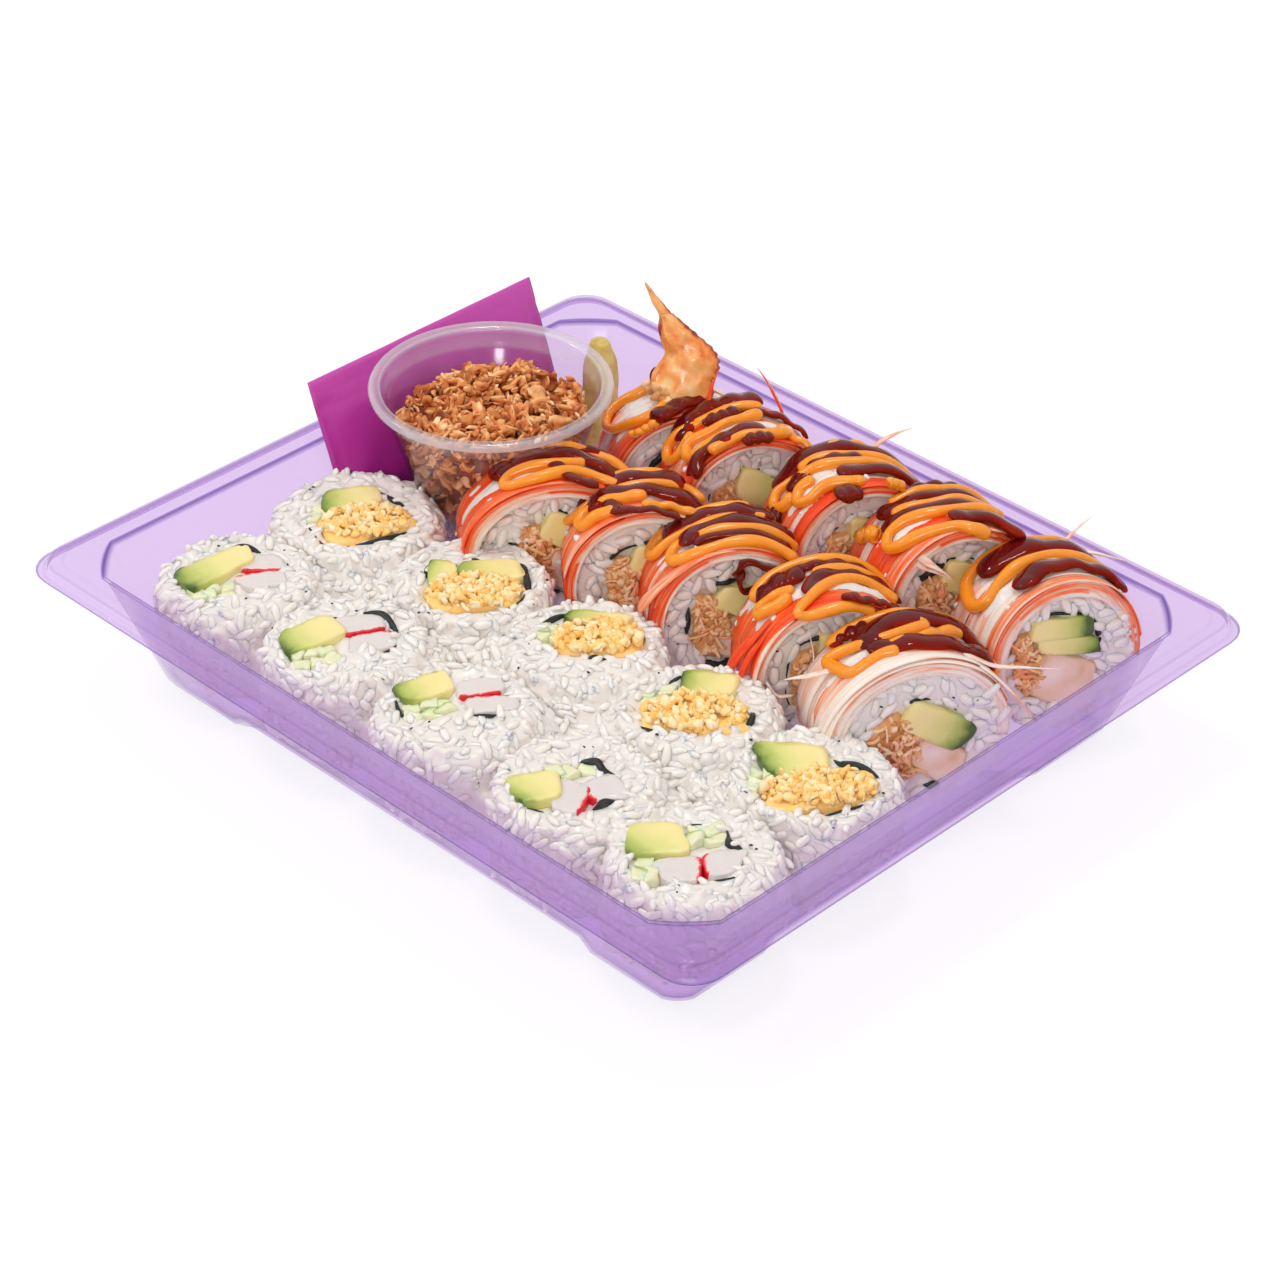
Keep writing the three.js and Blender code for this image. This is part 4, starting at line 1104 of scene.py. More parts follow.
def move_into_tray(points):
    """Move whole pieces, given as piece, point, axis, in from the tray's sheet."""
    low = np.maximum(FLOOR_TOP + 0.1 - points[..., 2].min(axis=1), 0)
    points = points + np.stack([0 * low, 0 * low, low], axis=1)[:, None]
    half_x, half_y, _ = tray_room(points[..., 2])
    over_x = np.maximum(np.abs(points[..., 0]) - half_x, 0).max(axis=1) * np.sign(points[:, 0, 0])
    over_y = np.maximum(np.abs(points[..., 1]) - half_y, 0).max(axis=1) * np.sign(points[:, 0, 1])
    return keep_in_tray(points - np.stack([over_x, over_y, 0 * over_x], axis=1)[:, None])


def bend_into_tray(points, soft=3.0):
    """Bend what would reach through the tray's walls back in, and keep its layers in order."""
    half_x, half_y, _ = tray_room(points[..., 2])
    bent = points.copy()
    for axis, half in enumerate((half_x, half_y)):
        over = np.maximum(np.abs(points[..., axis]) - half + soft, 0)
        bent[..., axis] -= np.sign(points[..., axis]) * (over - soft * (1 - np.exp(-over / soft)))
    return bent


def thin_out(places, spacing):
    """Which places to keep so that no two are nearer than the spacing."""
    cells, kept = {}, []
    keys = np.floor(places / spacing).astype(int).tolist()
    rows = places.tolist()
    near = [(dx, dy, dz) for dx in (-1, 0, 1) for dy in (-1, 0, 1) for dz in (-1, 0, 1)]
    for i, (kx, ky, kz) in enumerate(keys):
        x, y, z = rows[i]
        free = True
        for dx, dy, dz in near:
            for a, b, c in cells.get((kx + dx, ky + dy, kz + dz), ()):
                if (a - x) ** 2 + (b - y) ** 2 + (c - z) ** 2 < spacing ** 2:
                    free = False
        if free:
            cells.setdefault((kx, ky, kz), []).append(rows[i])
            kept.append(i)
    return kept


def scatter_on(name, spacing, rng, wanted):
    """Places spread over the wanted part of a node's surface, and their ways out."""
    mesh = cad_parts[name].data
    mesh.calc_loop_triangles()
    corners = np.array([v.co[:] for v in mesh.vertices]) / MM
    a, b, c = np.swapaxes(corners[np.array([t.vertices[:] for t in mesh.loop_triangles])], 0, 1)
    ways = np.cross(b - a, c - a)
    areas = np.linalg.norm(ways, axis=1) / 2
    tries = int(areas.sum() / spacing ** 2 * 5)
    pick = rng.choice(len(areas), tries, p=areas / areas.sum())
    u, v = rng.uniform(0, 1, (2, tries))
    over = u + v > 1
    u, v = np.where(over, 1 - u, u)[:, None], np.where(over, 1 - v, v)[:, None]
    places = a[pick] + u * (b - a)[pick] + v * (c - a)[pick]
    ways = unit(ways[pick])
    keep = wanted(places, ways)
    places, ways = places[keep], ways[keep]
    kept = thin_out(places, spacing)
    return places[kept], ways[kept]


def add_core(heap, name, one, shrink=0.15):
    """A softened copy of a node under the rice, sunk where the slice's filling shows."""
    bm = bmesh.new()
    bm.from_mesh(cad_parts[name].data)
    bmesh.ops.scale(bm, vec=(1 / MM, 1 / MM, 1 / MM), verts=bm.verts)
    bmesh.ops.remove_doubles(bm, verts=bm.verts, dist=0.01)
    bmesh.ops.smooth_vert(bm, verts=bm.verts, factor=0.3, use_axis_x=True, use_axis_y=True, use_axis_z=True)
    bm.normal_update()
    for vert in bm.verts:
        vert.co -= vert.normal * shrink
    shape = Shape(bm)
    right, up, out = one.local(shape.points)
    sunk = (out > -FACE_DEPTH) & on_filling(one, right, up, 0.2)
    heap.add(shape, (shape.points - np.where(sunk, 2.2, 0)[:, None] * one.out))


def add_loose_grains(heap, places, ways, rng, spacing, sink, plump=1.0):
    """Grains that stand out of the rice, at some of the places where it has others."""
    kept = thin_out(places + rng.normal(0, 0.3, places.shape), spacing)
    ways = ways[kept]
    add_grains(heap, places[kept], ways, rng, rng.uniform(*sink, len(kept)), 0 * ways, 0.22, plump)


def add_grains(heap, places, ways, rng, sink, flow, tilt, plump=1.0):
    """Grains of rice that lie about flat on a surface, partly sunk in it, along the flow."""
    count = len(places)
    grain = grain_shape()
    half_length = rng.uniform(2.6, 3.6, count) * plump
    half_width = rng.uniform(1.2, 1.5, count) * plump
    shape = grain.points[None] * np.stack([half_length, half_width, half_width * 0.8], axis=1)[:, None]
    bend = rng.uniform(-0.02, 0.05, count)[:, None]
    shape[..., 2] -= bend * shape[..., 0] ** 2
    shape[..., 1] += bend[::-1] * shape[..., 0] ** 2
    side = unit(np.cross(ways, rng.normal(size=(count, 3))))
    side = unit(side + flow * np.sign((side * flow).sum(axis=1, keepdims=True)))
    side = unit(side - ways * (side * ways).sum(axis=1, keepdims=True))
    tip = np.cross(ways, side)
    lean = rng.normal(0, tilt, count)[:, None]
    forward = unit(side * np.cos(lean) + ways * np.sin(lean))
    upward = unit(ways * np.cos(lean) - side * np.sin(lean))
    middle = places - ways * np.asarray(sink).reshape(-1, 1)
    points = (middle[:, None] + shape[..., 0:1] * forward[:, None] + shape[..., 1:2] * tip[:, None]
              + shape[..., 2:3] * upward[:, None])
    heap.add(grain, move_into_tray(points), tone=rng.uniform(0.05, 0.45, count))


def on_filling(one, right, up, grow):
    """Whether places on a slice's face lie on any piece of its filling."""
    found = np.zeros(np.shape(right), bool)
    for piece in one.filling:
        found |= in_piece(piece, right, up, grow)
    return found


def filling_edge(one, angle):
    """How far from a slice's middle the seaweed lies, close round the filling."""
    steps = np.linspace(0, 2 * math.pi, 72, endpoint=False)
    reach = np.arange(18.5, 3.0, -0.25)
    inside = on_filling(one, reach * np.cos(steps)[:, None], reach * np.sin(steps)[:, None], 0.3)
    edge = np.where(inside.any(axis=1), reach[inside.argmax(axis=1)], 4.0)
    for _ in range(10):
        edge = np.maximum(edge, (np.roll(edge, 1) + np.roll(edge, -1)) / 2)
    for _ in range(3):
        edge = (edge + np.roll(edge, 1) + np.roll(edge, -1)) / 3
    return np.interp(np.asarray(angle) % (2 * math.pi), np.append(steps, 2 * math.pi),
                     np.append(edge, edge[0]))


def footprint(one, x, y):
    """How far places are from an upright slice's middle, as a share of its radius."""
    across = np.abs(x - one.origin[0]) ** 2.5 + np.abs(y - one.origin[1]) ** 2.5
    return across ** 0.4 / SLICE_RADIUS


def nearest_footprint(x, y, slices):
    """The smallest of the shares of a radius at which places lie from some slices."""
    return np.min([footprint(one, x, y) for one in slices], axis=0)


def valley(x, y):
    """Height of the rice that is squeezed up between the upright slices."""
    near = nearest_footprint(x, y, UPRIGHTS.values())
    return 27.5 - 15 * np.clip(near - 1, 0, 0.5) + 0.7 * waves(np.stack([x, y, 0 * x], axis=-1), 9, 2)


def cover_with_rice(heap, loose, name, one, rng, spacing):
    """Cover one slice with grains, which are sunk in a hollow where its filling lies."""
    add_core(heap, name, one)

    def wanted(places, ways):
        right, up, _ = one.local(places)
        under = one.on_face(places, ways) & on_filling(one, right, up, -0.5)
        return ~under & ~one.hidden(places, ways)

    places, ways = scatter_on(name, one.spread * spacing, rng, wanted)
    right, up, _ = one.local(places)
    face = one.on_face(places, ways)
    angle = np.arctan2(up, right)
    inner = face & (np.hypot(right, up) < filling_edge(one, angle) - 0.4)
    sink = np.where(inner, one.hollow, rng.uniform(*one.sink, len(places)))
    ring = -np.sin(angle)[:, None] * one.right + np.cos(angle)[:, None] * one.up
    swirl = ring * np.where(face & ~inner, one.swirl, 0)[:, None]
    add_grains(heap, places, ways, rng, sink, swirl, one.tilt, one.plump)
    add_loose_grains(loose, places[~inner], ways[~inner], rng, one.loose_spread * spacing, one.loose_sink,
                     one.loose_plump)


def add_rice_bed(heap, loose, row, spacing):
    """The rice squeezed up between the upright slices of a row, and the mass inside them."""
    rng = np.random.default_rng(70 + ord(row))
    near_side, far_side, middle = RICE_BEDS[row]
    x, y = rng.uniform(-BED_HALF, BED_HALF, 6000), rng.uniform(near_side, far_side, 6000)
    near = nearest_footprint(x, y, UPRIGHTS.values())
    places = np.stack([x, y, valley(x, y)], axis=1)[near > 0.97]
    places = places[thin_out(places, spacing)]
    up = np.array([[0.0, 0.0, 1.0]]) + rng.normal(0, 0.25, (len(places), 3))
    add_grains(heap, places, unit(up), rng, rng.uniform(0.1, 1.0, len(places)), 0 * up, 0.4)
    add_loose_grains(loose, places, unit(up), rng, Slice.loose_spread * spacing, (-0.4, 0.5))
    inner = block_shape((0, 0, 0))
    heap.add(inner, (inner.points * np.array([BED_HALF, 13, 8]) + np.array([0, middle, 14])))
    bed = block_shape((70, 12, 0))
    x, y, z = bed.points.T
    x, y = x * BED_HALF, near_side + (y + 1) / 2 * (far_side - near_side)
    heap.add(bed, np.stack([x, y, np.where(z > 0, valley(x, y) - 0.4, 9)], axis=1))


def make_rice(props):
    """The rice of each row of slices: grains melted into one skin, and loose ones on it."""
    spacing = props.spacing / MM
    rice = cooked_rice()
    for row, slices, voxel, slot in RICE_ROWS:
        # The skin heap keeps no tone, so its rice is painted darker than the loose grains: painted shade in
        # the hollows between them.
        heap, loose = Heap(), Heap("tone")
        names = [name for name in slices if name[5] == row]
        for number, name in enumerate(names):
            one = slices[name]
            rng = np.random.default_rng(one.seed + number + 10 * ord(row))
            cover_with_rice(heap, loose, name, one, rng, spacing)
        if row in RICE_BEDS:
            add_rice_bed(heap, loose, row, spacing)
        place(fuse(heap.build(f"rice_row_{row}"), voxel), rice, slot, *names)
        place(loose.build(f"rice_grains_{row}"), rice, slot)


# ------------------------------------------------------------------ fillings


def all_pieces(*kinds):
    """Every filling piece of the given kinds, with its slice."""
    for one in (*UPRIGHTS.values(), *LYINGS.values()):
        for piece in one.filling:
            if piece[0] in kinds:
                yield one, piece


def piece_depth(one):
    """How far a filling runs in from its slice's face."""
    return one.thickness - 0.6 if isinstance(one, LyingSlice) else 14.0


def cut_piece(one, piece, shape, rng, depth=None, lift=0.5, crisp=0.3, relief=0.15, skew=0.13, square=7):
    """Points of a knife-cut piece that stands in a slice with its cut face about flush."""
    _, at_right, at_up, length, width, turn = piece[:6]
    a, b, c = shape.points.T
    depth = depth or piece_depth(one)
    down = ((1 - c) / 2) ** 2.4 * depth
    reach = (np.abs(a) ** square + np.abs(b) ** square) ** (1 / square)
    pull = np.maximum(np.abs(a), np.abs(b)) / np.maximum(reach, 1e-6)
    a, b = a * pull, b * pull
    k = rng.uniform(-skew, skew, 4)
    a, b = a * (1 + k[0] * b) + k[1] * b, b * (1 + k[2] * a) + k[3] * a
    inset = crisp * np.exp(-down / 0.25)
    wobble = waves(shape.points * np.array([length, width, depth]) / 2, 4.5, int(rng.integers(999)))
    along = a * (length / 2 - inset) + 0.22 * wobble
    across = b * (width / 2 - inset) + 0.22 * wobble[::-1]
    along, across = turned(along, across, turn)
    return one.point(at_right + along, at_up + across, lift - down + relief * wobble * np.exp(-down))


def make_avocado(props):
    """Avocado wedges, buttery at one end and green under the skin's side."""
    rng = np.random.default_rng(21)
    shape = block_shape((9, 7, 5))
    heap = Heap("shade")
    a, b, _ = shape.points.T
    for one, piece in all_pieces("avocado"):
        points = cut_piece(one, piece, shape, rng, lift=rng.uniform(1.0, 1.5), square=5)
        way = math.radians(piece[6] - piece[5])
        toward = a * math.cos(way) + b * math.sin(way)
        shade = 0.5 + 0.5 * toward / (abs(math.cos(way)) + abs(math.sin(way)))
        # Towards olive green in the lying slices: partly the avocado's duller colour there, partly painted
        # shade for the shade those faces sit in.
        shade += 0.1 * isinstance(one, LyingSlice)
        heap.add(shape, points, shade=shade)
    place(heap.build("avocado_wedges"), avocado_flesh(), "sushi_rice")


def make_crab_sticks(props):
    """Crab sticks, with the red skin on the side where two sticks meet."""
    rng = np.random.default_rng(22)
    shape = block_shape((11, 11, 5))
    a, b, _ = shape.points.T
    skins = {"crab_low": -b, "crab_top": b, "crab_right": a, "crab_left": -a}
    heap = Heap("skin")
    for one, piece in all_pieces(*skins):
        points = cut_piece(one, piece, shape, rng, lift=rng.uniform(0.2, 0.5), skew=0.22, square=4)
        heap.add(shape, points, skin=np.clip((skins[piece[0]] - 0.62) / 0.38, 0, 1))
    place(heap.build("crab_sticks"), crab_stick(), "sushi_rice")


def make_cucumber(props):
    """Cucumber cut in thin batons, which stand side by side and end unevenly."""
    rng = np.random.default_rng(23)
    shape = block_shape((4, 4, 4))
    heap = Heap("shade")
    for one, piece in all_pieces("cucumber"):
        kind, at_right, at_up, length, width, turn = piece
        columns, rows = max(round(length / BATON), 1), max(round(width / BATON), 1)
        for i in range(columns):
            for j in range(rows):
                along = ((i + 0.5) / columns - 0.5) * length + rng.uniform(-0.7, 0.7)
                across = ((j + 0.5) / rows - 0.5) * width + rng.uniform(-0.7, 0.7)
                along, across = turned(along, across, turn)
                baton = (kind, at_right + along, at_up + across,
                         length / columns * rng.uniform(0.9, 1.35), width / rows * rng.uniform(0.8, 1.2),
                         turn + rng.uniform(-35, 35))
                points = cut_piece(one, baton, shape, rng, lift=rng.uniform(-0.8, 0.8), relief=0.4, skew=0.3)
                skin = rng.uniform(0, 1) > 0.7
                shade = rng.uniform(0, 0.3) + skin * np.clip((shape.points[:, 1] - 0.4), 0, 0.6)
                heap.add(shape, points, shade=shade)
    place(heap.build("cucumber_batons"), cucumber_flesh(), "sushi_rice")


def make_prawn(props):
    """Cooked prawn in the lying slices: pale, with a faint pink cast."""
    rng = np.random.default_rng(24)
    shape = block_shape((9, 8, 5))
    heap = Heap("tone")
    for one, piece in all_pieces("prawn"):
        points = cut_piece(one, piece, shape, rng, crisp=0.8, relief=0.5, skew=0.2)
        heap.add(shape, points, tone=0.5 + 0.3 * waves(shape.points, 1.2, 31))
    flesh = shredded_food("prawn_flesh", [
        (0.0, "#D09A6C"), (0.3, "#E6C29C"), (0.65, "#EFD2BC"), (1.0, "#F3DFD0")], 0.33, 2.8)
    place(heap.build("prawn_flesh_rounds"), flesh, "crab_roll")


def add_shreds(heap, one, piece, rng, number, length, half_width, rise, tones):
    """Short curled strips strewn over a filling piece's area."""
    _, at_right, at_up, long, wide, turn = piece
    shape = tube_shape(8, 5)
    x, y, z = shape.points.T
    reach = np.sqrt(rng.uniform(0, 1, number))
    angle = rng.uniform(0, 2 * math.pi, number)
    along, across = reach * np.cos(angle) * (long / 2 - 0.8), reach * np.sin(angle) * (wide / 2 - 0.8)
    along, across = turned(along, across, turn)
    out = rise * (1 - reach ** 2) + rng.uniform(-0.6, 0.7, number)
    length = rng.uniform(*length, number)[:, None]
    curl = rng.uniform(-2.2, 2.2, number)[:, None] + 1e-3
    bow = z * curl / 2
    spine = np.stack([np.sin(bow), 1 - np.cos(bow)], axis=-1) * (length / curl)[..., None]
    taper = np.sqrt(np.clip(1 - z ** 6 * 0.9, 0.02, 1)) * rng.uniform(0.75, 1.25, (number, 1))
    wide_way = x * taper * half_width
    local = np.stack([spine[..., 0] - wide_way * np.sin(bow), spine[..., 1] + wide_way * np.cos(bow),
                      y * taper * half_width * 0.8], axis=-1)
    local = np.einsum("nij,nkj->nki", random_turns(rng, number, 0.5), local)
    axes = np.stack([one.right, one.up, one.out])
    middles = one.point(at_right + along, at_up + across, out)
    heap.add(shape, middles[:, None] + local @ axes, tone=rng.uniform(*tones, number))


def add_crumbs(heap, middles, rng, sizes, tones):
    """Knobbly crumbs round some places."""
    count = len(middles)
    crumb = crumb_shape()
    lumps = waves(crumb.points + rng.uniform(0, 40, (count, 1, 3)), 1.3, 6)[..., None]
    local = crumb.points * rng.uniform(*sizes, (count, 1, 3)) * (1 + 0.35 * lumps)
    local = np.einsum("nij,nkj->nki", random_turns(rng, count), local)
    heap.add(crumb, middles[:, None] + local, tone=rng.uniform(*tones, count))


def add_tangle(heap, one, piece, rng, bed, shares, cut, shreds, crumbs, relief):
    """A filling of shreds and crumbs heaped on a bed that fills a share of its length and width."""
    kind, at_right, at_up, length, width, turn = piece
    smaller = (kind, at_right, at_up, length * shares[0], width * shares[1], turn)
    tone = 0.3 if isinstance(one, LyingSlice) else 0.4
    heap.add(bed, cut_piece(one, smaller, bed, rng, crisp=1.5, **cut), tone=tone)
    add_shreds(heap, one, piece, rng, *shreds)
    count, along, across, heights, sizes, tones = crumbs
    reach, angle = np.sqrt(rng.uniform(0, 1, count)), rng.uniform(0, 2 * math.pi, count)
    middles = one.point(at_right + reach * np.cos(angle) * length * along,
                        at_up + reach * np.sin(angle) * width * across, rng.uniform(*heights, count))
    middles += (relief * waves(middles, 6, 61))[:, None] * one.out
    add_crumbs(heap, middles, rng, sizes, tones)


def make_egg(props):
    """Finely shredded omelette, heaped in the slices of the second row."""
    rng = np.random.default_rng(25)
    bed = block_shape((8, 6, 3))
    heap = Heap("tone")
    shreds = (props.egg_shreds, (1.8, 4.0), 0.75, 1.4, (0.3, 0.9))
    crumbs = (230, 0.46, 0.45, (0.5, 1.9), (0.35, 1.6), (0.25, 1.0))
    for one, piece in all_pieces("egg"):
        add_tangle(heap, one, piece, rng, bed, (0.92, 0.86), {"depth": 4, "lift": 0.3}, shreds, crumbs, 0.7)
    omelette = shredded_food("shredded_omelette", [
        (0.0, "#F6AC46"), (0.3, "#FFC96C"), (0.65, "#FFDC94"), (1.0, "#FFEFC8")], 0.36, 0.8)
    place(heap.build("egg_shreds"), omelette, "sushi_rice")


def make_batter(props):
    """Crumbly fried batter and shredded crab in the lying slices, and at the tail's root."""
    rng = np.random.default_rng(26)
    bed = block_shape((6, 8, 3))
    heap = Heap("tone")
    shreds = (42, (2.5, 6.5), 0.55, 1.3, (0.15, 1.05))
    crumbs = (60, 0.44, 0.44, (-0.4, 1.0), (0.5, 1.4), (0.1, 0.9))
    for one, piece in all_pieces("shreds"):
        add_tangle(heap, one, piece, rng, bed, (0.86, 0.9), {"lift": 0.1}, shreds, crumbs, 0.0)
    round_root = TAIL_ROOT - 1.5 + rng.normal(0, 1, (60, 3)) * np.array([3.2, 3.2, 1.6])
    add_crumbs(heap, round_root, rng, (0.9, 2.2), (0.2, 0.8))
    batter = shredded_food("fried_batter_shreds", [
        (0.0, "#C07C42"), (0.3, "#E2A468"), (0.6, "#F4C48C"), (0.85, "#FBDAB0"), (1.0, "#F4986A")],
        0.42, 1.4)
    place(heap.build("batter_shreds"), batter, "crab_roll")


def make_seaweed(props):
    """The seaweed sheet round each filling, which shows as a thin dark edge, and stray flecks."""
    rng = np.random.default_rng(27)
    heap = Heap()
    ribbon = block_shape((0, 0, 90))
    x, y, z = ribbon.points.T
    fleck = crumb_shape()
    count = 5
    for one in (*UPRIGHTS.values(), *LYINGS.values()):
        angle = rng.uniform(0, 2 * math.pi) + 2 * math.pi * 0.985 * (z + 1) / 2
        hem = np.stack([np.cos(angle), np.sin(angle), 0 * angle], axis=1) * 10
        fold = waves(hem, 9, int(rng.integers(99)))
        radius = filling_edge(one, angle) + 0.5 + 0.3 * waves(hem, 6, int(rng.integers(99)))
        radius += x * (0.2 + 0.8 * np.clip(fold - 0.3, 0, 1))
        top = (-0.9 if isinstance(one, LyingSlice) else -0.75) + 1.5 * fold
        points = one.point(radius * np.cos(angle), radius * np.sin(angle), top + (y - 1) * SEAWEED_DEPTH / 2)
        heap.add(ribbon, points)
        angle = rng.uniform(0, 2 * math.pi, count)
        radius = filling_edge(one, angle) + rng.uniform(0.8, 9, count)
        middles = one.point(radius * np.cos(angle), radius * np.sin(angle), rng.uniform(0.1, 0.7, count))
        local = fleck.points * rng.uniform(0.1, 0.6, (count, 1, 3)) * np.array([1.2, 0.8, 0.5])
        heap.add(fleck, middles[:, None] + local)
    place(heap.build("seaweed_edges"), roasted_seaweed(), "sushi_rice")


# ------------------------------------------------------------------ crab sheet and sauces


def ribbon_points(shape, centres, ways, half_width, half_thick):
    """Points of a rod bent along centres, flat side towards ways."""
    sections = len(centres)
    x, y, z = shape.points.T
    index = np.rint((z + 1) / 2 * (sections - 1)).astype(int)
    forward = unit(np.gradient(centres, axis=0))
    across = unit(np.cross(forward, ways))
    upward = unit(np.cross(across, forward))
    half_width = np.broadcast_to(half_width, sections)[index]
    half_thick = np.broadcast_to(half_thick, sections)[index]
    return (centres[index] + across[index] * (x * half_width)[:, None]
            + upward[index] * (y * half_thick)[:, None])


def blunt_ends(sections, share=0.08):
    """Thickness along a rod with rounded ends."""
    t = np.linspace(0, 1, sections)
    near = np.clip(np.minimum(t, 1 - t) / share, 0, 1)
    return np.sqrt(np.clip(1 - (1 - near) ** 2, 0.02, 1))


def make_crab_sheets(props):
    """The crab stick sheet over each lying slice: a base layer and the strips on it."""
    heap = Heap("tone", "run", "across")
    base = block_shape((60, 26, 6))
    sections = 34
    strip = tube_shape(sections, 10)
    x = strip.points[:, 0]
    t = (strip.points[:, 2] + 1) / 2
    for number, one in enumerate(LYINGS.values()):
        rng = np.random.default_rng(700 + number)
        a, b, c = base.points.T
        angle = a * SHEET_REACH
        edge = one.front * np.clip((angle + 55) / 30, 0, 1)
        along = 0.4 - one.thickness + (b + 1) / 2 * (one.thickness - 0.6 + edge)
        arc = np.stack([a * 30, b * 10, 0 * a], axis=1)
        depth = (1 - c) / 2
        ridges = (0.12 * np.sin(along * 2.6 + 2 * waves(arc, 24, 3)) + 0.22 * waves(arc, 7, 5)) * (c > 0.9)
        corner = 0.45 * ((b > 0.98) & (c > 0.98))
        bulge = 0.35 * np.sin(depth * 14 + 1.5 * waves(arc, 14, number)) * (b > 0.98)
        points, _ = one.wrap(angle, along + bulge, ridges - 0.25 - corner - depth * one.hem)
        layers = np.interp(depth, [0, 0.3, 0.55, 1], [0.2, 0.5, 0.8, 1.0])
        layers -= 0.8 * np.exp(-((depth - 0.6) / 0.12) ** 2) * (waves(arc, 22, 20 + number) > 0)
        top = 0.12 + 0.75 * one.pale + 0.2 * waves(arc, 16, 30 + number)
        tone = np.where((b > 0.98) & (depth > 0.1), np.maximum(layers, one.pale), top)
        heap.add(base, bend_into_tray(points), tone=np.clip(tone, 0, 1.1),
                 run=angle * 0.4, across=along + depth * one.hem * 2)

        spots = np.linspace(3 - one.thickness, one.front - 2, props.strips)
        for k, spot in enumerate(rng.permutation(spots)):
            white = rng.uniform() < one.pale
            tone = rng.uniform(0.75, 1.0) if white else rng.uniform(0.05, 0.5) + 0.4 * one.pale
            way = np.linspace(rng.uniform(74, 99), -rng.uniform(66, 90), sections)
            sway = rng.uniform(-2.2, 2.2) * np.linspace(-1, 1, sections) + 0.5 * np.sin(
                np.linspace(0, rng.uniform(2, 6), sections))
            half = rng.uniform(2.2, 4.2)
            limit = one.front * np.clip((way + 55) / 30, 0, 1)
            place_on = np.clip(spot + sway, half * 0.7 - one.thickness, limit - half * 0.9)
            centres, ways = one.wrap(way, place_on, rng.uniform(-0.15, 0.15))
            ends = blunt_ends(sections, 0.04)
            points = ribbon_points(strip, centres, ways, half * ends, rng.uniform(0.25, 0.4) * ends)
            heap.add(strip, bend_into_tray(points), tone=tone + 0.2 * np.abs(x) ** 4,
                     run=(100 * t - 50) * 0.4, across=x * half + 10 * k)
    place(heap.build("crab_sheets"), crab_sheet(), "crab_roll")


# Loose crab shreds: the slice, some places on the way as degrees left of the top, millimetres
# before the front face and above the sheet, then the half width and how pale it is.
STRANDS = [
    ("roll_d2", [(18, -22, 0), (12, -23, 5), (5, -23, 11)], 1.1, 0.3),
    ("roll_d2", [(-39, -21, 1), (-27, -22, 5), (-14, -23, 11)], 1.9, 0.35),
    ("roll_d3", [(-25, -22, 1), (-33, -23, 6), (-42, -23, 12)], 1.0, 0.8),
    ("roll_d5", [(-28, -24, 2), (-33, -25, 7), (-38, -25, 13)], 0.6, 0.95),
    ("roll_d5", [(-28, -17, 0.8), (-37, -18.6, 3), (-49, -16.4, 5.8), (-57, -14, 8.7)], 1.4, 1.0),
    ("roll_d4", [(37, 4, 0), (34, 6.5, -5), (24, 7, -13)], 1.3, 0.95),
    ("roll_d4", [(43, 4, -1), (39, 6.5, -5), (27, 7.5, -12)], 0.9, 0.9),
    ("roll_c3", [(80, -3, 3), (66, 1, 2), (46, 3.5, 1), (22, 4, 0.5), (0, 4.5, 0)], 2.6, 0.62),
    ("roll_c4", [(90, -8, 4), (77, -6, 2.6), (60, -3, 1.2), (44, -2, 0.5)], 2.6, 0.12),
    ("roll_c4", [(92, -1, 3), (78, 0, 2), (60, 1, 1), (44, 1, 0.4)], 2.0, 0.05),
    ("roll_c4", [(81, 6, -3), (96, 6, -7), (90, 6, -14), (40, 6, -12), (22, 5, -2)], 0.9, 0.95),
    ("roll_c4", [(84, 4.5, 0), (66, 4.8, 0), (48, 4.8, 0), (30, 4.5, 0)], 1.3, 0.85),
    ("roll_c5", [(46, -14, 1), (57, -16, 4), (65, -18, 9)], 1.1, 0.95),
    ("roll_c5", [(-30, -4, 1), (-50, -3, 2.5), (-63, -2, 9), (-71, 0, 17)], 1.2, 0.95),
    ("roll_c5", [(-40, -2, 0.6), (-62, 0, 1.2), (-77, 3, 3), (-88, 5, 5)], 1.9, 0.9),
    ("roll_c5", [(86, -5, 0.4), (60, -2.6, 0.6), (20, -1.4, 1), (-20, -1.6, 1), (-66, -2.4, 0.8)], 2.4, 1.0),
    ("roll_c5", [(88, -9, 0.3), (62, -6, 0.5), (26, -5, 0.8), (-12, -5, 0.8), (-72, -6, 0.6)], 2.6, 0.9),
]


def make_strands(props):
    """Loose shreds that stand or hang off the crab sheets."""
    heap = Heap("tone", "run", "across")
    sections = 28
    shape = tube_shape(sections, 8)
    taper = np.interp(np.linspace(0, 1, sections), [0, 0.1, 0.55, 1], [0.7, 1, 0.9, 0.12])
    t = (shape.points[:, 2] + 1) / 2
    for name, way, half, tone in STRANDS:
        centres, ways = LYINGS[name].wrap(*smooth_path(way, sections).T)
        points = ribbon_points(shape, centres, ways, half * taper, min(0.45 * half, 0.5) * taper)
        across = shape.points[:, 0] * half
        heap.add(shape, points, tone=tone, run=30 * t, across=across)
    place(heap.build("crab_strands"), bpy.data.materials["crab_stick_sheet"], "crab_roll")


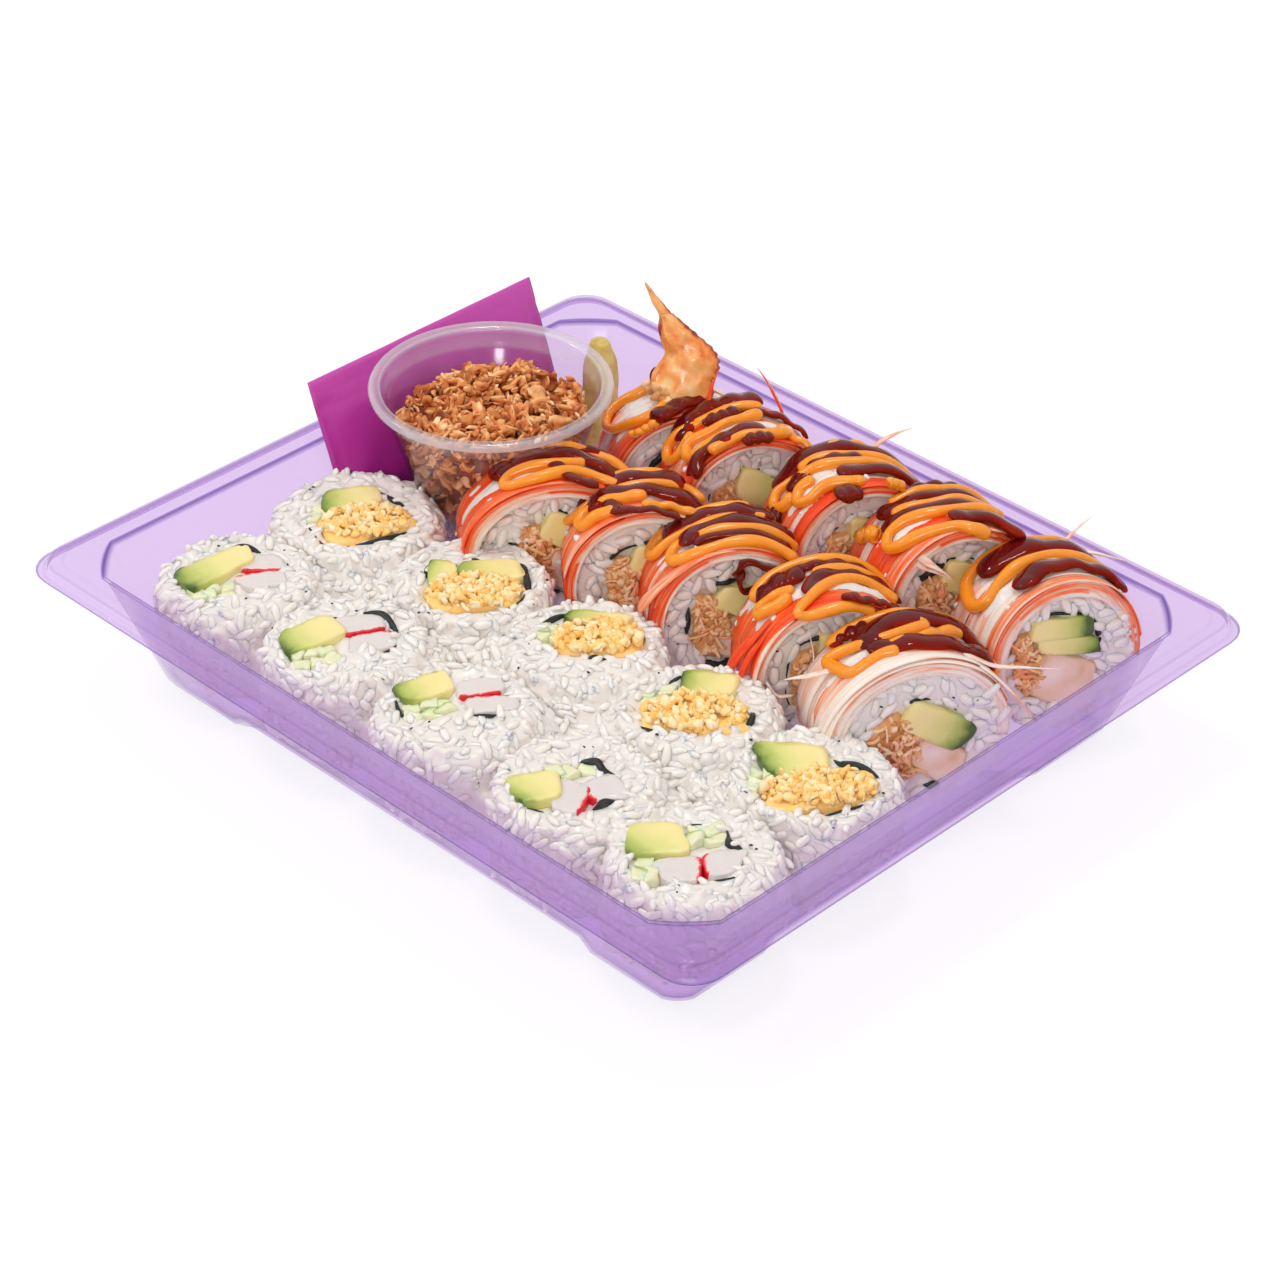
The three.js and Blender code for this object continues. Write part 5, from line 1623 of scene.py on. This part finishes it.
def pour(heap, one, rng, steps, half_width, flatten, above, sides, drop):
    """Lay one rounded line of sauce along its steps on a slice."""
    hung = [above - 0.5 * max(step[1] - one.front - 1, 0) if len(step) == 2 else step[2] for step in steps]
    steps = np.array([(step[0], step[1], out) for step, out in zip(steps, hung)])
    sections = 14 + 9 * len(steps)
    places = smooth_path(steps, sections)
    along = np.clip(places[:, 1], 0.8 - one.thickness, one.front + 1.4)
    t = np.linspace(0, 1, sections)
    height = places[:, 2] + 0.3 * np.sin(t * rng.uniform(12, 26) + rng.uniform(0, 6))
    centres, ways = one.wrap(places[:, 0], along, height)
    length = np.linalg.norm(np.diff(centres, axis=0), axis=1).sum()
    swell = 1 + 0.13 * np.sin(t * length / rng.uniform(3, 5) + rng.uniform(0, 6))
    near_end = np.minimum(t, 1 - t) * length
    thick = half_width * swell * (1 + (drop - 1) * np.exp(-((near_end - 2) / 3) ** 2))
    ends = blunt_ends(sections, min(half_width / length, 0.4))
    shape = tube_shape(sections, sides)
    points = ribbon_points(shape, centres, ways, thick * ends, thick * flatten * ends)
    heap.add(shape, bend_into_tray(points), thin=np.abs(shape.points[:, 0]) ** 2.5)


def pour_lines(lines, seed, widen, flatten, above, sides, drop):
    """Pour all the lines of one sauce over the lying slices."""
    heap = Heap("thin")
    rng = np.random.default_rng(seed)
    for name, poured in lines.items():
        for half_width, steps in poured:
            pour(heap, LYINGS[name], rng, steps, widen * half_width, flatten, above, sides, drop)
    return heap


def make_mayonnaise(props):
    """Lines of spicy mayonnaise poured to and fro over each lying slice."""
    heap = pour_lines(MAYONNAISE, 800, 0.9 * props.mayonnaise_line, 0.9, 1.4, 12, 1.1)
    place(heap.build("mayonnaise_lines"), spicy_mayonnaise(props), "crab_roll")


def make_glaze(props):
    """Wider, flatter lines of sweet soy glaze between and over the mayonnaise, and three drips
    on the tail, given as half width and then places on its long blade."""
    heap = pour_lines(GLAZE, 900, 1.3 * props.glaze_line, 0.36, 1.7, 16, 1.12)
    sections = 20
    shape = tube_shape(sections, 12)
    ends = blunt_ends(sections, 0.3)
    drips = [
        (1.2, [(0.2, -0.95), (0.1, -0.9), (0.0, -0.75), (-0.1, -0.7)]),
        (1.3, [(0.3, 1.0), (0.18, 1.0), (0.02, 0.95)]),
        (1.3, [(0.58, -0.85), (0.55, -0.55), (0.52, -0.4)])]
    for half_width, way in drips:
        way = smooth_path(way, sections)
        centres = tail_place(way[:, 0], way[:, 1], 2.3 + 0 * way[:, 0])
        facing = np.broadcast_to(TAIL_FLAT, (sections, 3))
        points = ribbon_points(shape, centres, facing, half_width * ends, 0.7 * ends)
        heap.add(shape, points, thin=0.2)
    place(heap.build("glaze_lines"), sweet_soy_glaze(), "crab_roll")


# ------------------------------------------------------------------ stage


def make_stage(props):
    """A pale floor, soft lamps and a camera at the tray's near corner."""
    bm = bmesh.new()
    bmesh.ops.create_grid(bm, x_segments=1, y_segments=1, size=3000)
    floor = from_bmesh("studio_floor", bm)
    floor.data.materials.append(studio_floor(props))

    world = bpy.data.worlds.new("soft_white")
    world.use_nodes = True
    world.node_tree.nodes["Background"].inputs[0].default_value = colour("#FFFFFF")
    world.node_tree.nodes["Background"].inputs[1].default_value = props.sky_light
    scene = bpy.context.scene
    scene.world = world
    scene.view_settings.view_transform = "Standard"
    scene.cycles.transparent_max_bounces = 24

    lamps = [("softbox_over", (-0.15, 0.15, 1.2), 0.2, 4.5), ("softbox_left", (-0.9, -0.5, 0.8), 0.18, 3.0),
             ("softbox_front", (0.7, -1.0, 0.8), 0.2, 5.0)]
    for name, where, size, power in lamps:
        lamp = bpy.data.lights.new(name, "AREA")
        lamp.size = size
        lamp.energy = power * props.lamp_power
        holder = bpy.data.objects.new(name, lamp)
        holder.location = where
        aim = Vector((0, 0, 0.02)) - Vector(where)
        holder.rotation_euler = aim.to_track_quat("-Z", "Y").to_euler()
        scene.collection.objects.link(holder)

    azimuth, elevation, roll = (math.radians(v) for v in CAMERA_ANGLES)
    back = Vector((math.sin(azimuth) * math.cos(elevation), -math.cos(azimuth) * math.cos(elevation),
                   math.sin(elevation)))
    level = Vector((math.cos(azimuth), math.sin(azimuth), 0))
    upright = back.cross(level)
    right = level * math.cos(roll) + upright * math.sin(roll)
    up = upright * math.cos(roll) - level * math.sin(roll)
    lens = bpy.data.cameras.new("camera")
    lens.sensor_width = 36
    lens.lens = lens.sensor_width * CAMERA_FOCUS / IMAGE_SIZE
    lens.clip_end = 20
    camera = bpy.data.objects.new("camera", lens)
    turn = Matrix((right, up, back)).transposed().to_4x4()
    camera.matrix_world = Matrix.Translation(CAMERA_PLACE) @ turn
    scene.collection.objects.link(camera)
    scene.camera = camera


# ------------------------------------------------------------------ add-on


def tint(name, description, shade):
    """A colour that a user may change, from its sRGB hex default."""
    return bpy.props.FloatVectorProperty(
        name=name, description=description, default=colour(shade)[:3], subtype="COLOR", min=0, max=1)


class SushiTrayProps(bpy.types.PropertyGroup):
    """Sizes and colours that a user would change."""

    tray_tint: tint("Tray tint", "Light that one face of the tray's sheet lets through", "#F0E3F7")
    pot_haze: tint("Pot haze", "Colour of the pot's milky haze", "#F2EEF2")
    mayonnaise: tint("Mayonnaise", "Colour of the spicy mayonnaise", "#FBA024")
    floor_colour: tint("Floor", "Colour of the studio floor", "#8E8C90")
    spacing: bpy.props.FloatProperty(
        name="Grain spacing", description="Least distance between the middles of two rice grains",
        default=0.0026, unit="LENGTH", min=0.0015, max=0.006)
    mayonnaise_line: bpy.props.FloatProperty(
        name="Mayonnaise line", description="Width of the mayonnaise lines, as a share of the usual",
        default=1.0, min=0.3, max=2)
    glaze_line: bpy.props.FloatProperty(
        name="Glaze line", description="Width of the glaze lines, as a share of the usual",
        default=1.0, min=0.3, max=2)
    onion_bits: bpy.props.IntProperty(
        name="Onion bits", description="Number of fried onion bits", default=1300, min=50, max=2000)
    egg_shreds: bpy.props.IntProperty(
        name="Egg shreds", description="Shreds of omelette in each slice", default=45, min=20, max=400)
    strips: bpy.props.IntProperty(
        name="Crab strips", description="Strips of crab stick over each lying slice",
        default=6, min=3, max=24)
    lamp_power: bpy.props.FloatProperty(
        name="Lamp power", description="Strength of the softboxes", default=0.8, min=0, max=10)
    sky_light: bpy.props.FloatProperty(
        name="Sky light", description="Strength of the white surroundings", default=0.7, min=0, max=5)


class TrayOperator:
    """What the operators share: run the steps with the scene's sizes and colours."""

    bl_options = {"REGISTER", "UNDO"}
    steps = ()

    def execute(self, context):
        """Make the pieces."""
        for step in self.steps:
            step(context.scene.sushi_tray)
        return {"FINISHED"}


class SUSHI_OT_tray(TrayOperator, bpy.types.Operator):
    """Make the clear tinted tray"""
    bl_idname = "sushi.tray"
    bl_label = "Tray"
    steps = (make_tray,)


class SUSHI_OT_pot(TrayOperator, bpy.types.Operator):
    """Make the clear pot"""
    bl_idname = "sushi.pot"
    bl_label = "Pot"
    steps = (make_pot,)


class SUSHI_OT_onions(TrayOperator, bpy.types.Operator):
    """Fill the pot with crispy fried onions"""
    bl_idname = "sushi.onions"
    bl_label = "Fried onions"
    steps = (make_onions,)


class SUSHI_OT_sachet(TrayOperator, bpy.types.Operator):
    """Make the sauce sachet"""
    bl_idname = "sushi.sachet"
    bl_label = "Sauce sachet"
    steps = (make_sachet,)


class SUSHI_OT_wasabi(TrayOperator, bpy.types.Operator):
    """Make the lump of wasabi"""
    bl_idname = "sushi.wasabi"
    bl_label = "Wasabi"
    steps = (make_wasabi,)


class SUSHI_OT_tail(TrayOperator, bpy.types.Operator):
    """Make the fried prawn tail"""
    bl_idname = "sushi.tail"
    bl_label = "Prawn tail"
    steps = (make_tail,)


class SUSHI_OT_rice(TrayOperator, bpy.types.Operator):
    """Cover every slice with grains of rice"""
    bl_idname = "sushi.rice"
    bl_label = "Rice"
    steps = (make_rice,)


class SUSHI_OT_fillings(TrayOperator, bpy.types.Operator):
    """Put the fillings and the seaweed into the slices"""
    bl_idname = "sushi.fillings"
    bl_label = "Fillings"
    steps = (make_avocado, make_crab_sticks, make_cucumber, make_prawn, make_egg, make_batter, make_seaweed)


class SUSHI_OT_crab(TrayOperator, bpy.types.Operator):
    """Lay the crab stick sheets and their loose shreds"""
    bl_idname = "sushi.crab"
    bl_label = "Crab sheets"
    steps = (make_crab_sheets, make_strands)


class SUSHI_OT_sauces(TrayOperator, bpy.types.Operator):
    """Pour the mayonnaise and the glaze"""
    bl_idname = "sushi.sauces"
    bl_label = "Sauces"
    steps = (make_mayonnaise, make_glaze)


class SUSHI_OT_stage(TrayOperator, bpy.types.Operator):
    """Make the floor, the lamps and the camera"""
    bl_idname = "sushi.stage"
    bl_label = "Stage"
    steps = (make_stage,)


OPERATORS = (
    SUSHI_OT_stage, SUSHI_OT_tray, SUSHI_OT_pot, SUSHI_OT_onions, SUSHI_OT_sachet, SUSHI_OT_wasabi,
    SUSHI_OT_tail, SUSHI_OT_rice, SUSHI_OT_fillings, SUSHI_OT_crab, SUSHI_OT_sauces)


class SUSHI_PT_panel(bpy.types.Panel):
    """Lists the tray's operators with their sizes and colours"""
    bl_idname = "SUSHI_PT_panel"
    bl_label = "Sushi Tray"
    bl_space_type = "VIEW_3D"
    bl_region_type = "UI"
    bl_category = "Sushi Tray"

    def draw(self, context):
        """Draw the sizes, the colours and one button for each operator."""
        props = context.scene.sushi_tray
        for key in props.bl_rna.properties.keys():
            if key not in ("rna_type", "name"):
                self.layout.prop(props, key)
        for operator in OPERATORS:
            self.layout.operator(operator.bl_idname)


CLASSES = (SushiTrayProps, *OPERATORS, SUSHI_PT_panel)


def register():
    """Register the classes and the scene's sizes and colours."""
    for item in CLASSES:
        bpy.utils.register_class(item)
    bpy.types.Scene.sushi_tray = bpy.props.PointerProperty(type=SushiTrayProps)


def unregister():
    """Undo register."""
    del bpy.types.Scene.sushi_tray
    for item in reversed(CLASSES):
        bpy.utils.unregister_class(item)


def main():
    """Make every piece in order."""
    register()
    for operator in OPERATORS:
        name = operator.bl_idname.split(".")[1]
        getattr(bpy.ops.sushi, name)()


if __name__ == "__main__":
    main()
